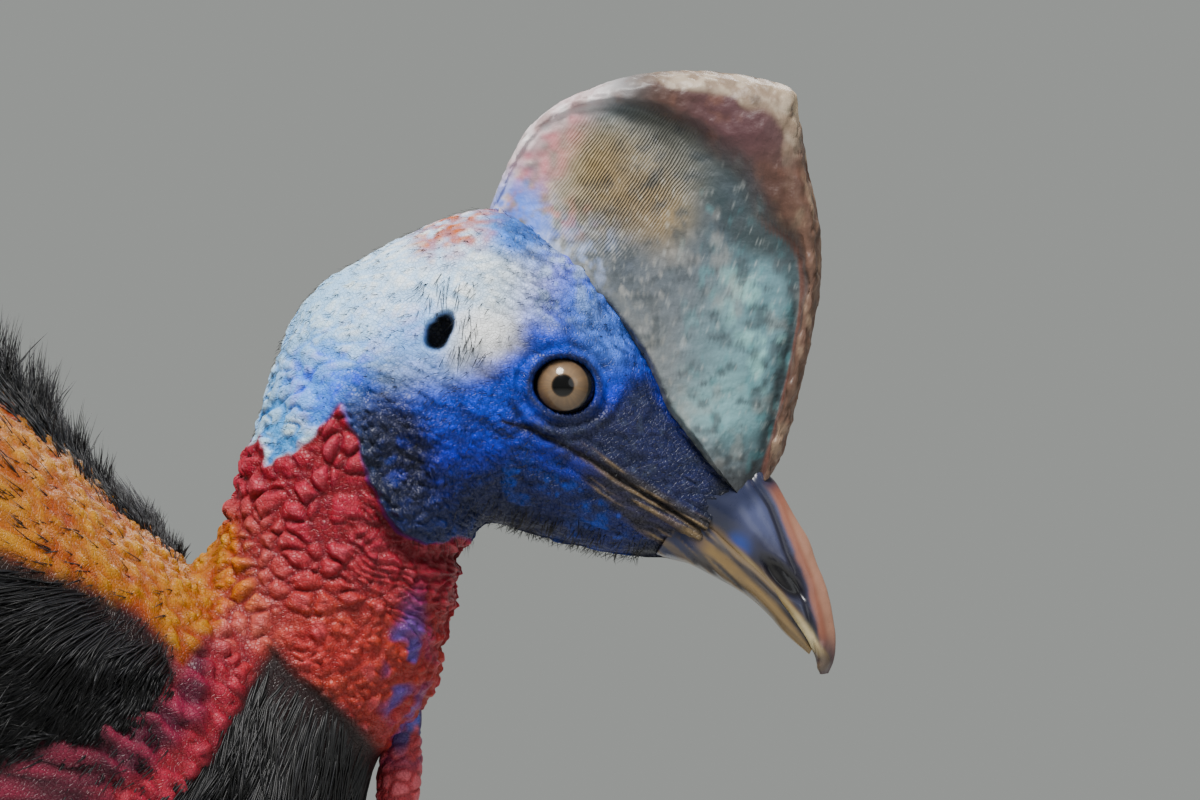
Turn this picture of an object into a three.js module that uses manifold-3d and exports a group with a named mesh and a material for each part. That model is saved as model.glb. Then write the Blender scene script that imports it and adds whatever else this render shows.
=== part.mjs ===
// A northern cassowary at life size, standing still with its neck drawn back into a tight bend and its bill
// pointing down and forward. The neck, head and casque are bare skin and horn, the wattle is single, and long
// black hair-like feathers cover the rest as tapered locks that lie back and hang down.
// Millimetres. +X is forward, +Y is the bird's left, +Z is up, and the floor is at z = 0.

import * as THREE from "three";
import { mergeVertices } from "three/addons/utils/BufferGeometryUtils.js";
import Module from "manifold-3d";

const wasm = await Module();
wasm.setup();

// Driving sizes
const gap = 0.3; // between nodes that touch
const eyeAt = { x: 342, z: 855 }; // middle of the eye in the standing pose
const coreDepth = 14; // how far the plumage core stands off the skin
const legSpread = 92; // from the bird's middle to each leg
const stride = 34; // the left foot's lead over the right one
const feetAt = -62; // x half way between the two feet
const seed = 11;
const fineness = 0.12; // details smaller than this are smoothed out of each finished solid
const coatFineness = 1.5; // and out of the plumage
const originShift = 49; // moves the finished bird so that its box stands centred over the origin

const { lerp, clamp, smoothstep, degToRad } = THREE.MathUtils;
const vec = (x, y, z) => new THREE.Vector3(x, y, z);
THREE.MathUtils.seededRandom(seed);
const random = (low, high) => lerp(low, high, THREE.MathUtils.seededRandom());

// Ribs of the head and neck from the bill's root back and round the bend to the shoulders, in mm from the eye:
// x and z of the rib's upper end, x and z of its lower end, and half the width there.
const neckRibs = [
  [58.9, -27.8, 39.9, -58.5, 13], // bill root
  [49.1, -15.4, 25.5, -55.9, 16.5],
  [37.3, 0.0, 9.2, -53.0, 21],
  [25.5, 19.6, -7.2, -48.4, 27],
  [12.4, 40.2, -19.3, -44.5, 31.5], // behind the eye
  [-5.6, 51.3, -25.5, -43.2, 34],
  [-24.2, 57.6, -28.8, -44.8, 35], // crown, at the casque's back
  [-43.2, 52.3, -31.4, -49.1, 35.5],
  [-62.8, 42.8, -34.0, -54.9, 35.5],
  [-80.8, 31.1, -35.6, -62.1, 35],
  [-91.6, 14.7, -36.6, -70.3, 34.5], // nape
  [-97.8, -6.5, -38.6, -76.8, 34],
  [-103.0, -23.9, -40.5, -85.0, 34],
  [-107.9, -40.9, -41.5, -94.8, 34.5],
  [-114.5, -53.3, -46.5, -105.0, 35],
  [-121.6, -59.2, -57.0, -119.0, 36], // bend
  [-126.2, -57.2, -65.0, -138.3, 40],
  [-134.7, -48.1, -81.0, -163.5, 47],
  [-149.4, -35.0, -113.5, -184.8, 56],
  [-167.4, -14.7, -156.0, -201.1, 66],
  [-183.8, 4.3, -203.4, -212.5, 76],
  [-213.2, 31.1, -255.7, -220.7, 90], // inside the shoulders
].map(([tx, tz, bx, bz, w]) => [tx + eyeAt.x, tz + eyeAt.z, bx + eyeAt.x, bz + eyeAt.z, w]);
const lastRib = neckRibs.length - 1;
const napeCut = 11 / lastRib; // where the head ends and the upper neck begins
const bendCut = 16 / lastRib; // where the upper neck ends and the lower neck begins

// The trunk under its plumage: upper z, lower z and half width at even steps of angle from breast to rump. Its
// front end runs up inside the neck.
const trunk = { middle: -71.5, half: 333.5, square: 2.15 };
const trunkRows = [
  [668, 662, 2],
  [702, 626, 34],
  [750, 592, 68],
  [812, 566, 100],
  [874, 551, 132],
  [914, 544, 153],
  [938, 549, 164],
  [936, 562, 158],
  [912, 583, 142],
  [868, 611, 114],
  [812, 645, 80],
  [760, 682, 42],
  [724, 720, 2],
];

// Helpers

// The row of a table at t from 0 to 1, on a smooth curve through its rows.
function rowAt(rows, t) {
  const s = clamp(t, 0, 1) * (rows.length - 1);
  const i = Math.min(Math.floor(s), rows.length - 2);
  const u = s - i;
  const pick = (k) => rows[clamp(k, 0, rows.length - 1)];
  return rows[i].map((p1, c) => {
    const p2 = pick(i + 1)[c];
    const v1 = (p2 - pick(i - 1)[c]) / 2;
    const v2 = (pick(i + 2)[c] - p1) / 2;
    return p1 + u * (v1 + u * (3 * (p2 - p1) - 2 * v1 - v2 + u * (2 * (p1 - p2) + v1 + v2)));
  });
}

// A closed skin: a cylinder whose points go where place(turn, along, out) says, with along from 0 to 1 and out 1
// on the wall and 0 in the middle of each end.
function shell(sides, spans, place) {
  const made = new THREE.CylinderGeometry(1, 1, 1, sides, spans);
  const points = made.attributes.position;
  for (let i = 0; i < points.count; i++) {
    const [x, y, z] = [points.getX(i), points.getY(i), points.getZ(i)];
    const out = Math.hypot(x, z) > 0.5 ? 1 : 0;
    const turn = out ? Math.atan2(x, z) : 0;
    points.setXYZ(i, ...place(turn, 0.5 - y, out));
  }
  return made;
}

// A geometry as a solid with its faces out.
function solid(geometry) {
  const bare = geometry.clone();
  bare.deleteAttribute("normal");
  bare.deleteAttribute("uv");
  const merged = mergeVertices(bare, 1e-3);
  const make = (triVerts) =>
    new wasm.Manifold(
      new wasm.Mesh({ numProp: 3, vertProperties: new Float32Array(merged.attributes.position.array), triVerts }),
    );
  const faces = Uint32Array.from(merged.index.array);
  const made = make(faces);
  if (made.volume() > 0) return made;
  for (let i = 0; i < faces.length; i += 3) [faces[i + 1], faces[i + 2]] = [faces[i + 2], faces[i + 1]];
  return make(faces);
}

const unite = (solids) => wasm.Manifold.union(solids);

// The largest closed surface of a solid, which drops loose scraps and fills sealed hollows.
function largest(made) {
  return made.decompose().reduce((best, one) => (one.volume() > best.volume() ? one : best));
}

// The same solid without slivers finer than a tenth of a millimetre, and with its near points made one.
function welded(made, detail) {
  const plain = largest(made.simplify(detail)).getMesh();
  const geometry = new THREE.BufferGeometry();
  geometry.setAttribute("position", new THREE.BufferAttribute(plain.vertProperties, 3));
  geometry.setIndex(new THREE.BufferAttribute(plain.triVerts, 1));
  return solid(geometry);
}

// Everything on the far side of a plane from its normal, half a gap back from it.
function halfSpace(point, normal) {
  const reach = 3000;
  const box = new THREE.BoxGeometry(reach, reach, reach);
  box.translate(0, 0, -reach / 2 - gap / 2);
  box.applyQuaternion(new THREE.Quaternion().setFromUnitVectors(vec(0, 0, 1), normal.clone().normalize()));
  box.translate(point.x, point.y, point.z);
  return solid(box);
}

// The part of a solid behind a plane, and the part in front of it.
const behind = (made, point, normal) => made.intersect(halfSpace(point, normal));
const inFront = (made, point, normal) => behind(made, point, normal.clone().negate());

// The same solid on the bird's other side, and on both.
const mirrored = (made) => made.mirror([0, 1, 0]);
const bothSides = (made) => [made, mirrored(made)];

function nodeOf(name, made, material, detail = fineness) {
  const mesh = largest(welded(made, detail)).getMesh();
  const geometry = new THREE.BufferGeometry();
  geometry.setAttribute("position", new THREE.BufferAttribute(mesh.vertProperties, 3));
  geometry.setIndex(new THREE.BufferAttribute(mesh.triVerts, 1));
  geometry.computeVertexNormals();
  part(geometry);
  const node = new THREE.Mesh(geometry, material);
  node.name = name;
  return node;
}

// Draws points of a surface that share one place a hair inwards, so that folds which touch stay two folds.
function part(geometry) {
  const { position, normal } = geometry.attributes;
  const hair = 0.006;
  const seen = new Map();
  for (let i = 0; i < position.count; i++) {
    const at = vec().fromBufferAttribute(position, i);
    const key = at.toArray().map((v) => Math.round(v / hair)).join();
    const before = seen.get(key) ?? 0;
    seen.set(key, before + 1);
    const inwards = vec().fromBufferAttribute(normal, i).multiplyScalar(-hair * before);
    if (before) position.setXYZ(i, ...at.add(inwards).toArray());
  }
}

const power = (value, exponent) => Math.sign(value) * Math.abs(value) ** exponent;

// A loft through upright ribs, each an oval between its two ends, from rib share t0 to t1.
function ribLoft(rows, { sides, spans, t0 = 0, t1 = 1, square = 2.2, grow = 0 }) {
  return shell(sides, spans, (turn, along, out) => {
    const t = lerp(t0, t1, along);
    return ribPoint(rows, t, turn, { square, grow, out });
  });
}

// The point of a rib table at rib share t, turned from the upper end towards the left.
function ribPoint(rows, t, turn, { square = 2.2, grow = 0, out = 1 } = {}) {
  const [tx, tz, bx, bz, w] = rowAt(rows, t);
  const half = Math.hypot(tx - bx, tz - bz) / 2;
  const up = (out * (half + grow) * power(Math.cos(turn), 2 / square)) / half / 2;
  const side = out * (w + grow) * power(Math.sin(turn), 2 / square);
  return [(tx + bx) / 2 + (tx - bx) * up, side, (tz + bz) / 2 + (tz - bz) * up];
}

// A round tube through points with a radius from the share along it, closed at both ends.
function tube(points, radius, sides, spans, flat = 1) {
  const curve = new THREE.CatmullRomCurve3(points);
  const frames = curve.computeFrenetFrames(spans, false);
  return shell(sides, spans, (turn, along, out) => {
    const k = Math.round(along * spans);
    const at = curve.getPointAt(along);
    const r = radius(along) * out;
    at.addScaledVector(frames.normals[k], r * Math.cos(turn));
    at.addScaledVector(frames.binormals[k], r * flat * Math.sin(turn));
    return at.toArray();
  });
}

// The point of the trunk at a share of its length, turned from the back towards the left.
const trunkX = (t) => trunk.middle + trunk.half * Math.cos(Math.PI * t);

function trunkPoint(t, turn, grow = 0, out = 1) {
  const [top, bottom, w] = rowAt(trunkRows, t);
  const half = (top - bottom) / 2 + grow;
  const side = out * (w + grow) * power(Math.sin(turn), 2 / trunk.square);
  const up = out * half * power(Math.cos(turn), 2 / trunk.square);
  const end = grow * Math.cos(Math.PI * t);
  return [trunkX(t) + end, side, (top + bottom) / 2 + up];
}

// The left side of the neck and trunk as one surface: how far it stands from the middle at a place seen from the
// side, or nothing where the place is clear of it.
const skinMeshes = [
  ribLoft(neckRibs, { sides: 40, spans: 60 }),
  shell(40, 30, (turn, along, out) => trunkPoint(along, turn, coreDepth, out)),
].map((geometry) => {
  const mesh = new THREE.Mesh(geometry);
  mesh.material.side = THREE.DoubleSide;
  return mesh;
});
function sideAt(x, z) {
  const ray = new THREE.Raycaster(vec(x, 400, z), vec(0, -1, 0));
  return ray.intersectObjects(skinMeshes)[0]?.point.y;
}
const onCheek = ([x, z], out = 0) => vec(eyeAt.x + x, sideAt(eyeAt.x + x, eyeAt.z + z) + out, eyeAt.z + z);

// The way out of that surface.
function sideOut(x, z) {
  const step = 4;
  const here = sideAt(x, z) ?? 0;
  const near = (dx, dz) => sideAt(x + dx, z + dz) ?? here - step;
  const slope = (dx, dz) => (near(dx, dz) - near(-dx, -dz)) / (2 * step);
  return vec(-slope(step, 0), 1, -slope(0, step)).normalize();
}

// Plumage locks

// A flat tapered lock with a low ridge along its back. at holds the points of its middle line and out the way its
// back faces at each of them.
function lock(at, out, width, thick, grow = 0) {
  const spans = at.length - 1;
  return shell(3, spans, (turn, along, share) => {
    const k = Math.round(along * spans);
    const ahead = at[Math.min(k + 1, spans)].clone().sub(at[Math.max(k - 1, 0)]);
    const side = ahead.cross(out[k]).normalize();
    const taper = lerp(0.62, 1, smoothstep(along, 0, 0.35)) * (1 - 0.93 * along ** 2.4);
    const w = (0.5 * width * taper + grow) * share;
    const h = (thick * taper + grow) * share;
    const point = at[k].clone();
    point.addScaledVector(side, (w * Math.sin(turn)) / Math.sin(degToRad(120)));
    point.addScaledVector(out[k], h * Math.cos(turn));
    return point.toArray();
  });
}

// How far a point is from the trunk's middle line as a share of the skin's own distance, 1 on the skin.
function trunkShare(p) {
  const t = Math.acos(clamp((p.x - trunk.middle) / trunk.half, -0.999, 0.999)) / Math.PI;
  const [top, bottom, w] = rowAt(trunkRows, t);
  const n = trunk.square;
  const up = Math.abs(p.z - (top + bottom) / 2) / ((top - bottom) / 2);
  const side = Math.abs(p.y) / w;
  return { share: (up ** n + side ** n) ** (1 / n), size: Math.min(w, (top - bottom) / 2) };
}

// The way out of the trunk's skin at a point.
function trunkOut(p) {
  const step = 2;
  const rise = (x, y, z) => trunkShare(vec(p.x + x, p.y + y, p.z + z)).share;
  const grad = vec(
    rise(step, 0, 0) - rise(-step, 0, 0),
    rise(0, step, 0) - rise(0, -step, 0),
    rise(0, 0, step) - rise(0, 0, -step),
  );
  return grad.normalize();
}

// A point moved to between two heights over the trunk's skin.
function lifted(p, low, high = Infinity) {
  const q = p.clone();
  for (let k = 0; k < 6; k++) {
    const { share, size } = trunkShare(q);
    const height = (share - 1) * size;
    if (height >= low && height <= high) break;
    q.addScaledVector(trunkOut(q), 0.8 * (clamp(height, low, high) - height));
  }
  return q;
}

// A lock that grows from the trunk at an angle of the trunk's length and a turn from the back, follows the lie
// over the skin, and hangs free past the flank.
function trunkLock(root, { lie, length, width, thick, lift, hang, grow }) {
  const spans = 3;
  const at = [];
  const out = [];
  let p = root.clone();
  for (let k = 0; k <= spans; k++) {
    const t = k / spans;
    const way = trunkOut(p);
    const height = lerp(coreDepth * 0.35, lift, t ** 0.7);
    const place = lifted(p, height, height + hang * t);
    at.push(k ? place : p.clone().addScaledVector(way, -2));
    out.push(way);
    const along = lie.clone().addScaledVector(way, -lie.dot(way) * (1 - 0.55 * t)).normalize();
    p = place.addScaledVector(along, length / spans);
  }
  return solid(lock(at, out, width, thick, grow));
}

// Trunk

const trunkCore = (grow) =>
  solid(shell(14, 10, (turn, along, out) => trunkPoint(along, turn, coreDepth + grow, out)));

// Rings of locks from the shoulders to the rump: place along the trunk, number of locks from the back down to the
// belly on each side, length and width of each, and how far the tips stand off the skin.
const plumageRings = [
  { t: 0.3, count: 4, length: 175, width: 104, lift: 25, from: 0.2, to: 2.8 },
  { t: 0.43, count: 4, length: 195, width: 112, lift: 29, from: 0.05, to: 2.75 },
  { t: 0.55, count: 5, length: 200, width: 112, lift: 32, from: 0.2, to: 2.75 },
  { t: 0.67, count: 5, length: 200, width: 106, lift: 34, from: 0.05, to: 2.6 },
  { t: 0.78, count: 4, length: 195, width: 98, lift: 34, from: 0.2, to: 2.5 },
  { t: 0.89, count: 2, length: 165, width: 96, lift: 28, from: 0.45, to: 1.6 },
];

const lockThick = 9; // of a trunk lock along its ridge
const hangNear = { back: 8, flank: 148 }; // how far a lock's tip may hang off the skin

// Where each trunk lock goes, worked out once so that the grown copies match.
const trunkLocks = plumageRings.flatMap((ring) =>
  Array.from({ length: 2 * ring.count }, (_, k) => {
    const side = k % 2 ? 1 : -1;
    const turn = lerp(ring.from, ring.to, Math.floor(k / 2) / (ring.count - 1)) + random(-0.05, 0.05);
    const t = ring.t + random(-0.008, 0.008);
    const down = lerp(0.12, 1.25, Math.sin(Math.min(turn, Math.PI / 2))) + 0.9 * smoothstep(ring.t, 0.6, 1);
    return {
      root: vec(...trunkPoint(t, side * turn, coreDepth * 0.6)),
      lie: vec(-1, 0.05 * side, -down).normalize(),
      length: ring.length * random(0.92, 1.08),
      width: ring.width * random(0.92, 1.08),
      thick: lockThick,
      lift: ring.lift * random(0.9, 1.1),
      hang: lerp(hangNear.back, hangNear.flank, smoothstep(turn, 0.5, 1.4)),
    };
  }),
);
const tailFrom = -306; // x where the tail's own locks begin
const lockSolids = (list, grow) => list.map((one) => trunkLock(one.root, { ...one, grow }));
const torsoLocks = trunkLocks.filter(({ root }) => root.x > tailFrom);
const tailLocks = trunkLocks.filter(({ root }) => root.x <= tailFrom);

// Neck

function neckLoft(t0, t1, grow) {
  const spans = Math.round((t1 - t0) * lastRib);
  return solid(ribLoft(neckRibs, { sides: 16, spans, t0, t1, grow }));
}

// The plane of a rib, with its normal towards the body.
function ribPlane(t) {
  const [tx, tz, bx, bz] = rowAt(neckRibs, t);
  return { point: vec((tx + bx) / 2, 0, (tz + bz) / 2), normal: vec(bz - tz, 0, tx - bx) };
}

// A warty bulb of the bare neck, sunk into the skin at a rib share and a turn.
function bulb(t, turn, size, stretch) {
  const at = vec(...ribPoint(neckRibs, t, turn));
  const ahead = vec(...ribPoint(neckRibs, t + 0.01, turn)).sub(at).normalize();
  const out = vec(...ribPoint(neckRibs, t, turn, { grow: 4 })).sub(at).normalize();
  const made = new THREE.IcosahedronGeometry(size * 1.12, 0).rotateZ(0.4).scale(stretch, 1, 0.62);
  const side = out.clone().cross(ahead).normalize();
  made.applyMatrix4(new THREE.Matrix4().makeBasis(ahead, side, out).setPosition(at));
  return solid(made);
}

// Rows of bulbs over the bare neck on one side, offset like bricks and jittered.
function bulbs({ t0, t1, rows, turn0, turn1, columns, size, stretch }) {
  const made = [];
  for (let i = 0; i < rows; i++) {
    for (let j = 0; j < columns; j++) {
      const t = lerp(t0, t1, (i + 0.5) / rows) + random(-0.004, 0.004);
      const turn = lerp(turn0, turn1, (j + (i % 2 ? 0.75 : 0.25)) / columns) + random(-0.05, 0.05);
      made.push(bulb(t, turn, size * random(0.85, 1.15), stretch));
    }
  }
  return made;
}

// A fold of loose skin across the throat at a rib share, as a roll that fades at both ends.
function throatFold(t, thick) {
  const turns = Array.from({ length: 9 }, (_, k) => degToRad(lerp(112, 248, k / 8)));
  const points = turns.map((turn) => vec(...ribPoint(neckRibs, t, turn, { grow: -0.4 })));
  return solid(tube(points, (s) => thick * (0.45 + 0.55 * Math.sin(Math.PI * s)), 4, 6));
}

const shortLock = 45; // the length up to which a lock is one of the crest's

// A lock of the lower neck's left side: its root and the way it points as seen from the side, and its length.
function sideLock({ at: [x, z], lie, length, width, thick = 5, lift = 9 }, grow) {
  const spans = length > shortLock ? 3 : 2;
  const way = vec(lie[0], 0, lie[1]).normalize();
  let rootZ = z;
  while (sideAt(x, rootZ) === undefined) rootZ -= 2;
  const root = vec(x, sideAt(x, rootZ), rootZ);
  const at = [];
  const out = [];
  for (let k = 0; k <= spans; k++) {
    const s = k / spans;
    const p = root.clone().addScaledVector(way, length * s);
    const y = sideAt(p.x, p.z) ?? Math.max(at[k - 1].y - 4, 2);
    const face = sideOut(p.x, p.z);
    p.y = y;
    at.push(p.addScaledVector(face, k ? lerp(2, lift, s) : -4));
    out.push(face);
  }
  return solid(lock(at, out, width, thick, grow));
}

// The locks of the lower neck: the front patch that starts in a point under the throat, the patch behind the red
// strip, the breast, and the crest of short feathers up the hind neck.
const neckLocks = [
  [[250, 764], [-0.15, -1], 62],
  [[238, 738], [-0.3, -1], 70],
  [[262, 736], [0.05, -1], 68],
  [[222, 708], [-0.5, -1], 78],
  [[250, 703], [-0.15, -1], 76],
  [[272, 700], [0.12, -1], 68],
  [[206, 672], [-0.8, -1], 86],
  [[206, 796], [-1, -0.4], 60],
  [[184, 808], [-1, -0.35], 64],
  [[168, 780], [-1, -0.5], 70],
  [[178, 700], [-0.9, -1], 88],
  [[213, 804], [-0.25, 1], 24],
  [[205, 815], [-0.2, 1], 28],
  [[196, 827], [-0.2, 1], 31],
  [[187, 839], [-0.2, 1], 34],
  [[177, 851], [-0.25, 1], 36],
  [[166, 863], [-0.35, 1], 40],
].map(([at, lie, length]) => ({
  at: at.map((v) => v + random(-1.5, 1.5)),
  lie,
  length: length * random(0.94, 1.06),
  width: length > shortLock ? 38 : 24,
}));
const neckPlumage = (grow) => neckLocks.map((one) => sideLock(one, grow)).flatMap(bothSides);

// Legs

// One leg's bones and flesh as seen on the bird's right, with fore the shift of its foot.
function legShapes(fore) {
  const foot = vec(feetAt + fore, -legSpread, 0);
  const hock = vec(foot.x - 74, -legSpread + 2, 334);
  const knee = vec(foot.x + 52, -legSpread + 10, 640);
  const bone = (from, to, s) => from.clone().lerp(to, s);
  return { foot, hock, knee, bone };
}

// An upright loft between two points with rows of half length fore and aft and half width.
function limb(from, to, rows, sides, spans, grow = 0, scute = 0) {
  return shell(sides, spans, (turn, along, out) => {
    const [aft, wide] = rowAt(rows, along);
    const at = from.clone().lerp(to, along);
    const front = Math.max(0, Math.cos(turn)) ** 2;
    const step = along > 0.05 && along < 0.95 ? scute * front * (Math.round(along * spans) % 2) : 0;
    const x = (aft + grow + step) * Math.cos(turn) * out;
    return [at.x + x, at.y + (wide + grow) * Math.sin(turn) * out, at.z];
  });
}

const thighRows = [
  [27, 25],
  [25, 23],
  [27, 25],
  [36, 32],
  [49, 42],
  [60, 49],
  [64, 50],
  [52, 38],
];
const shankRows = [
  [26, 27],
  [21, 21],
  [16.5, 15],
  [15.5, 14],
  [15.5, 14],
  [16.5, 15],
  [20, 19],
  [27, 25],
  [26, 24],
];

const thighShape = (leg, grow) => {
  const belowHock = leg.hock.clone().lerp(leg.knee, -0.04);
  return solid(limb(belowHock, leg.knee, thighRows, 10, 7, grow));
};

// Short locks that hang down the thigh in rings: how far up from the hock, the first lock's turn as a share of the
// step between two, and their length.
const thighRings = [
  { up: 0.36, start: 0, length: 70 },
  { up: 0.55, start: 0.5, length: 92 },
];
const thighLock = { count: 5, width: 46, thick: 6 };

function thighLocks(leg, grow) {
  const made = [];
  for (const { up, start, length } of thighRings) {
    for (let k = 0; k < thighLock.count; k++) {
      const turn = (2 * Math.PI * (k + start)) / thighLock.count;
      const [aft, wide] = rowAt(thighRows, up);
      const way = vec(Math.cos(turn), Math.sin(turn), 0);
      const root = leg.hock.clone().lerp(leg.knee, up).add(vec(aft * way.x, wide * way.y, 0));
      const down = leg.hock.clone().sub(leg.knee).normalize();
      const at = [0, 1, 2, 3].map((i) =>
        root.clone().addScaledVector(down, (length * i) / 3).addScaledVector(way, i ? 3 - 2.2 * i : -5),
      );
      made.push(solid(lock(at, at.map(() => way), thighLock.width, thighLock.thick, grow)));
    }
  }
  return made;
}

// Toes: heading away from straight ahead in degrees towards the bird's left, length, claw length and root width.
const toes = {
  inner: { heading: 12, length: 78, claw: 96, wide: 15, clawWide: 8.5, drop: 5 },
  middle: { heading: -2, length: 126, claw: 42, wide: 17, clawWide: 7, drop: 10 },
  outer: { heading: -32, length: 92, claw: 34, wide: 15, clawWide: 6.2, drop: 9 },
};
const toeRows = [
  [1.05, 15.5],
  [1.0, 13.5],
  [0.86, 12.5],
  [0.92, 12],
  [0.78, 11],
  [0.82, 10.5],
  [0.66, 9.5],
];
const sole = -0.8; // how far a pad dips below the floor before it is cut flat

function toeParts(foot, { heading, length, claw, wide, clawWide, drop }) {
  const turn = degToRad(heading);
  const ahead = vec(Math.cos(turn), Math.sin(turn), 0);
  const side = vec(-Math.sin(turn), Math.cos(turn), 0);
  const start = foot.clone().addScaledVector(ahead, 27);
  const spans = 7;
  const toe = (grow) => shell(7, spans, (angle, along, out) => {
    const [share, high] = rowAt(toeRows, along);
    const step = along > 0.1 && along < 0.9 ? 1.2 * (Math.round(along * spans) % 2) : 0;
    const at = start.clone().addScaledVector(ahead, length * along);
    const rise = Math.max(0, Math.cos(angle));
    at.addScaledVector(side, (wide * share + grow) * Math.sin(angle) * out);
    at.z = high + sole + (high + grow + step * rise) * power(Math.cos(angle), 0.85) * out;
    return at.toArray();
  });
  const tip = start.clone().addScaledVector(ahead, length + gap);
  const sharp = 0.9;
  const horn = shell(5, 4, (angle, along, out) => {
    const r = (clawWide * (1 - along ** 1.5) + sharp) * out;
    const at = tip.clone().addScaledVector(ahead, claw * along);
    at.addScaledVector(side, r * 0.8 * Math.sin(angle));
    at.z = 10.6 + r * Math.cos(angle) + 2.5 * Math.sin(Math.PI * along) - drop * 0.8 * along ** 2;
    return at.toArray();
  });
  return { toe: solid(toe(0)), room: solid(toe(gap)), claw: solid(horn), start, ahead };
}

// Head pieces

const headShape = (grow) => neckLoft(0, 15 / lastRib, grow);

const eye = { radius: 11, sunk: 8.2 }; // the ball's middle lies this deep under the cheek
const eyeCentre = vec(eyeAt.x, sideAt(eyeAt.x, eyeAt.z) - eye.sunk, eyeAt.z);
const lidLine = [
  [-11.2, 2.4],
  [-7.8, 7.9],
  [-1.6, 10.4],
  [5.0, 7.6],
  [9.4, 2.2],
  [13.6, -5.0],
  [7.4, -7.4],
  [0.6, -9.8],
  [-6.2, -7.9],
  [-10.6, -3.2],
];
const mouthLine = [
  [-19.3, -12.1],
  [-10.5, -14.7],
  [-0.7, -19.3],
  [9.2, -24.5],
  [19.0, -31.1],
  [28.8, -37.0],
  [38.6, -43.2],
  [43.2, -46.5],
];
const ear = { at: [-39.9, 17.7], long: 6.4, wide: 3.6, deep: 6, slant: 62 };

// A closed roll of skin round the eye, the two lids in one.
function lids() {
  const points = lidLine.map((p) => onCheek(p, 0.3));
  const curve = new THREE.CatmullRomCurve3(points, true);
  const ring = new THREE.ExtrudeGeometry(
    new THREE.Shape().absarc(0, 0, 1.9, 0, 2 * Math.PI),
    { extrudePath: curve, steps: 14, curveSegments: 2, bevelEnabled: false },
  );
  return solid(ring);
}

function mouthGroove() {
  const points = mouthLine.map((p) => onCheek(p, 0.2));
  return solid(tube(points, (s) => 0.8 + 0.7 * s, 4, 6));
}

function lipRoll(below) {
  const points = mouthLine.slice(1).map(([x, z]) => onCheek([x - 1.2 * below, z - 2.4 * below], -0.6));
  return solid(tube(points, (s) => 1.5 + 0.5 * Math.sin(Math.PI * s), 4, 5));
}

// The roll of blue skin that overhangs the red neck behind the jaw.
function jowl() {
  const points = [
    [-66, -24],
    [-61, -36],
    [-53, -45],
    [-43, -49],
    [-33, -47.5],
  ].map((p) => onCheek(p, -2.5));
  return solid(tube(points, (s) => 4.5 + 2.5 * Math.sin(Math.PI * s), 5, 5));
}

// An oval pit or rim at a place on the cheek, long along a slant from level in degrees.
function cheekOval({ at, long, wide, deep, slant }) {
  const made = new THREE.SphereGeometry(1, 8, 5).scale(long, deep, wide).rotateY(-degToRad(slant));
  const p = onCheek(at, 0);
  return solid(made.translate(p.x, p.y, p.z));
}

// Casque ribs from back to front in mm from the eye: the edge, then the root inside the head.
const casqueRibs = [
  [-24.2, 57.5, -21, 44],
  [-20.3, 67.0, -17, 42],
  [-11.4, 84.0, -11, 39],
  [4.3, 95.2, -4, 35],
  [25.5, 101.7, 4, 31],
  [46.0, 102.7, 12, 26],
  [64.7, 100.1, 18, 16],
  [77.6, 93.0, 23, 6],
  [76.9, 82.0, 27, 0],
  [82.4, 62.0, 31, -6],
  [84.4, 44.0, 36, -13],
  [82.0, 20.0, 41, -20],
  [77.0, -3.0, 46, -27],
  [72.3, -20.6, 51, -32],
  [68.8, -28.6, 58, -37],
];
const casque = { plate: 6.4, root: 14, rim: 11, rimAt: 0.88, rimWide: 0.1 };

function casqueShape() {
  const last = casqueRibs.length - 1;
  return solid(
    shell(12, 18, (turn, along, out) => {
      const [ex, ez, rx, rz] = rowAt(casqueRibs, along);
      const up = (1 + Math.cos(turn)) / 2; // 1 on the edge, 0 at the root
      const side = Math.sign(Math.sin(turn));
      const rim = Math.exp(-(((up - casque.rimAt) / casque.rimWide) ** 2));
      const thick = casque.plate + (casque.rim - casque.plate) * rim + casque.root * (1 - up) ** 2.2;
      const fromEnd = Math.min(along + 0.45 / last, 1 - along + 0.3 / last);
      const ends = Math.min(1, 3 * fromEnd + 0.35);
      const round = Math.min(1, Math.abs(Math.sin(turn)) * 2.2);
      const h = out ? up : 0.5;
      return [
        eyeAt.x + lerp(rx, ex, h),
        out * side * thick * ends * round,
        eyeAt.z + lerp(rz, ez, h),
      ];
    }),
  );
}

// Bill ribs from root to tip in mm from the eye: the ridge or mouth edge above, then the edge below, and half the
// width.
const upperBillRibs = [
  [59.5, -27.6, 46.9, -48.0, 12.6],
  [67.0, -29.6, 52.0, -53.2, 12.2],
  [74.6, -42.5, 58.2, -59.2, 11],
  [79.5, -50.7, 64.7, -65.4, 10],
  [82.7, -58.9, 69.0, -70.2, 9],
  [85.7, -67.0, 73.5, -75.6, 8],
  [87.6, -75.2, 77.8, -80.8, 6.8],
  [88.6, -83.0, 81.0, -86.0, 5],
  [88.2, -89.5, 83.0, -90.5, 3.2],
  [86.2, -94.0, 84.4, -94.2, 1.2],
];
const lowerBillRibs = [
  [48.3, -46.7, 40.4, -58.3, 12],
  [55.6, -53.6, 46.7, -61.4, 11],
  [62.4, -60.6, 54.2, -65.4, 9.6],
  [67.3, -65.5, 61.2, -69.5, 8.4],
  [72.4, -71.9, 67.5, -75.3, 7],
  [76.4, -77.4, 72.2, -80.7, 5.6],
  [79.6, -82.0, 76.7, -84.9, 4],
  [81.6, -86.2, 80.4, -88.0, 1.8],
];

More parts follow.
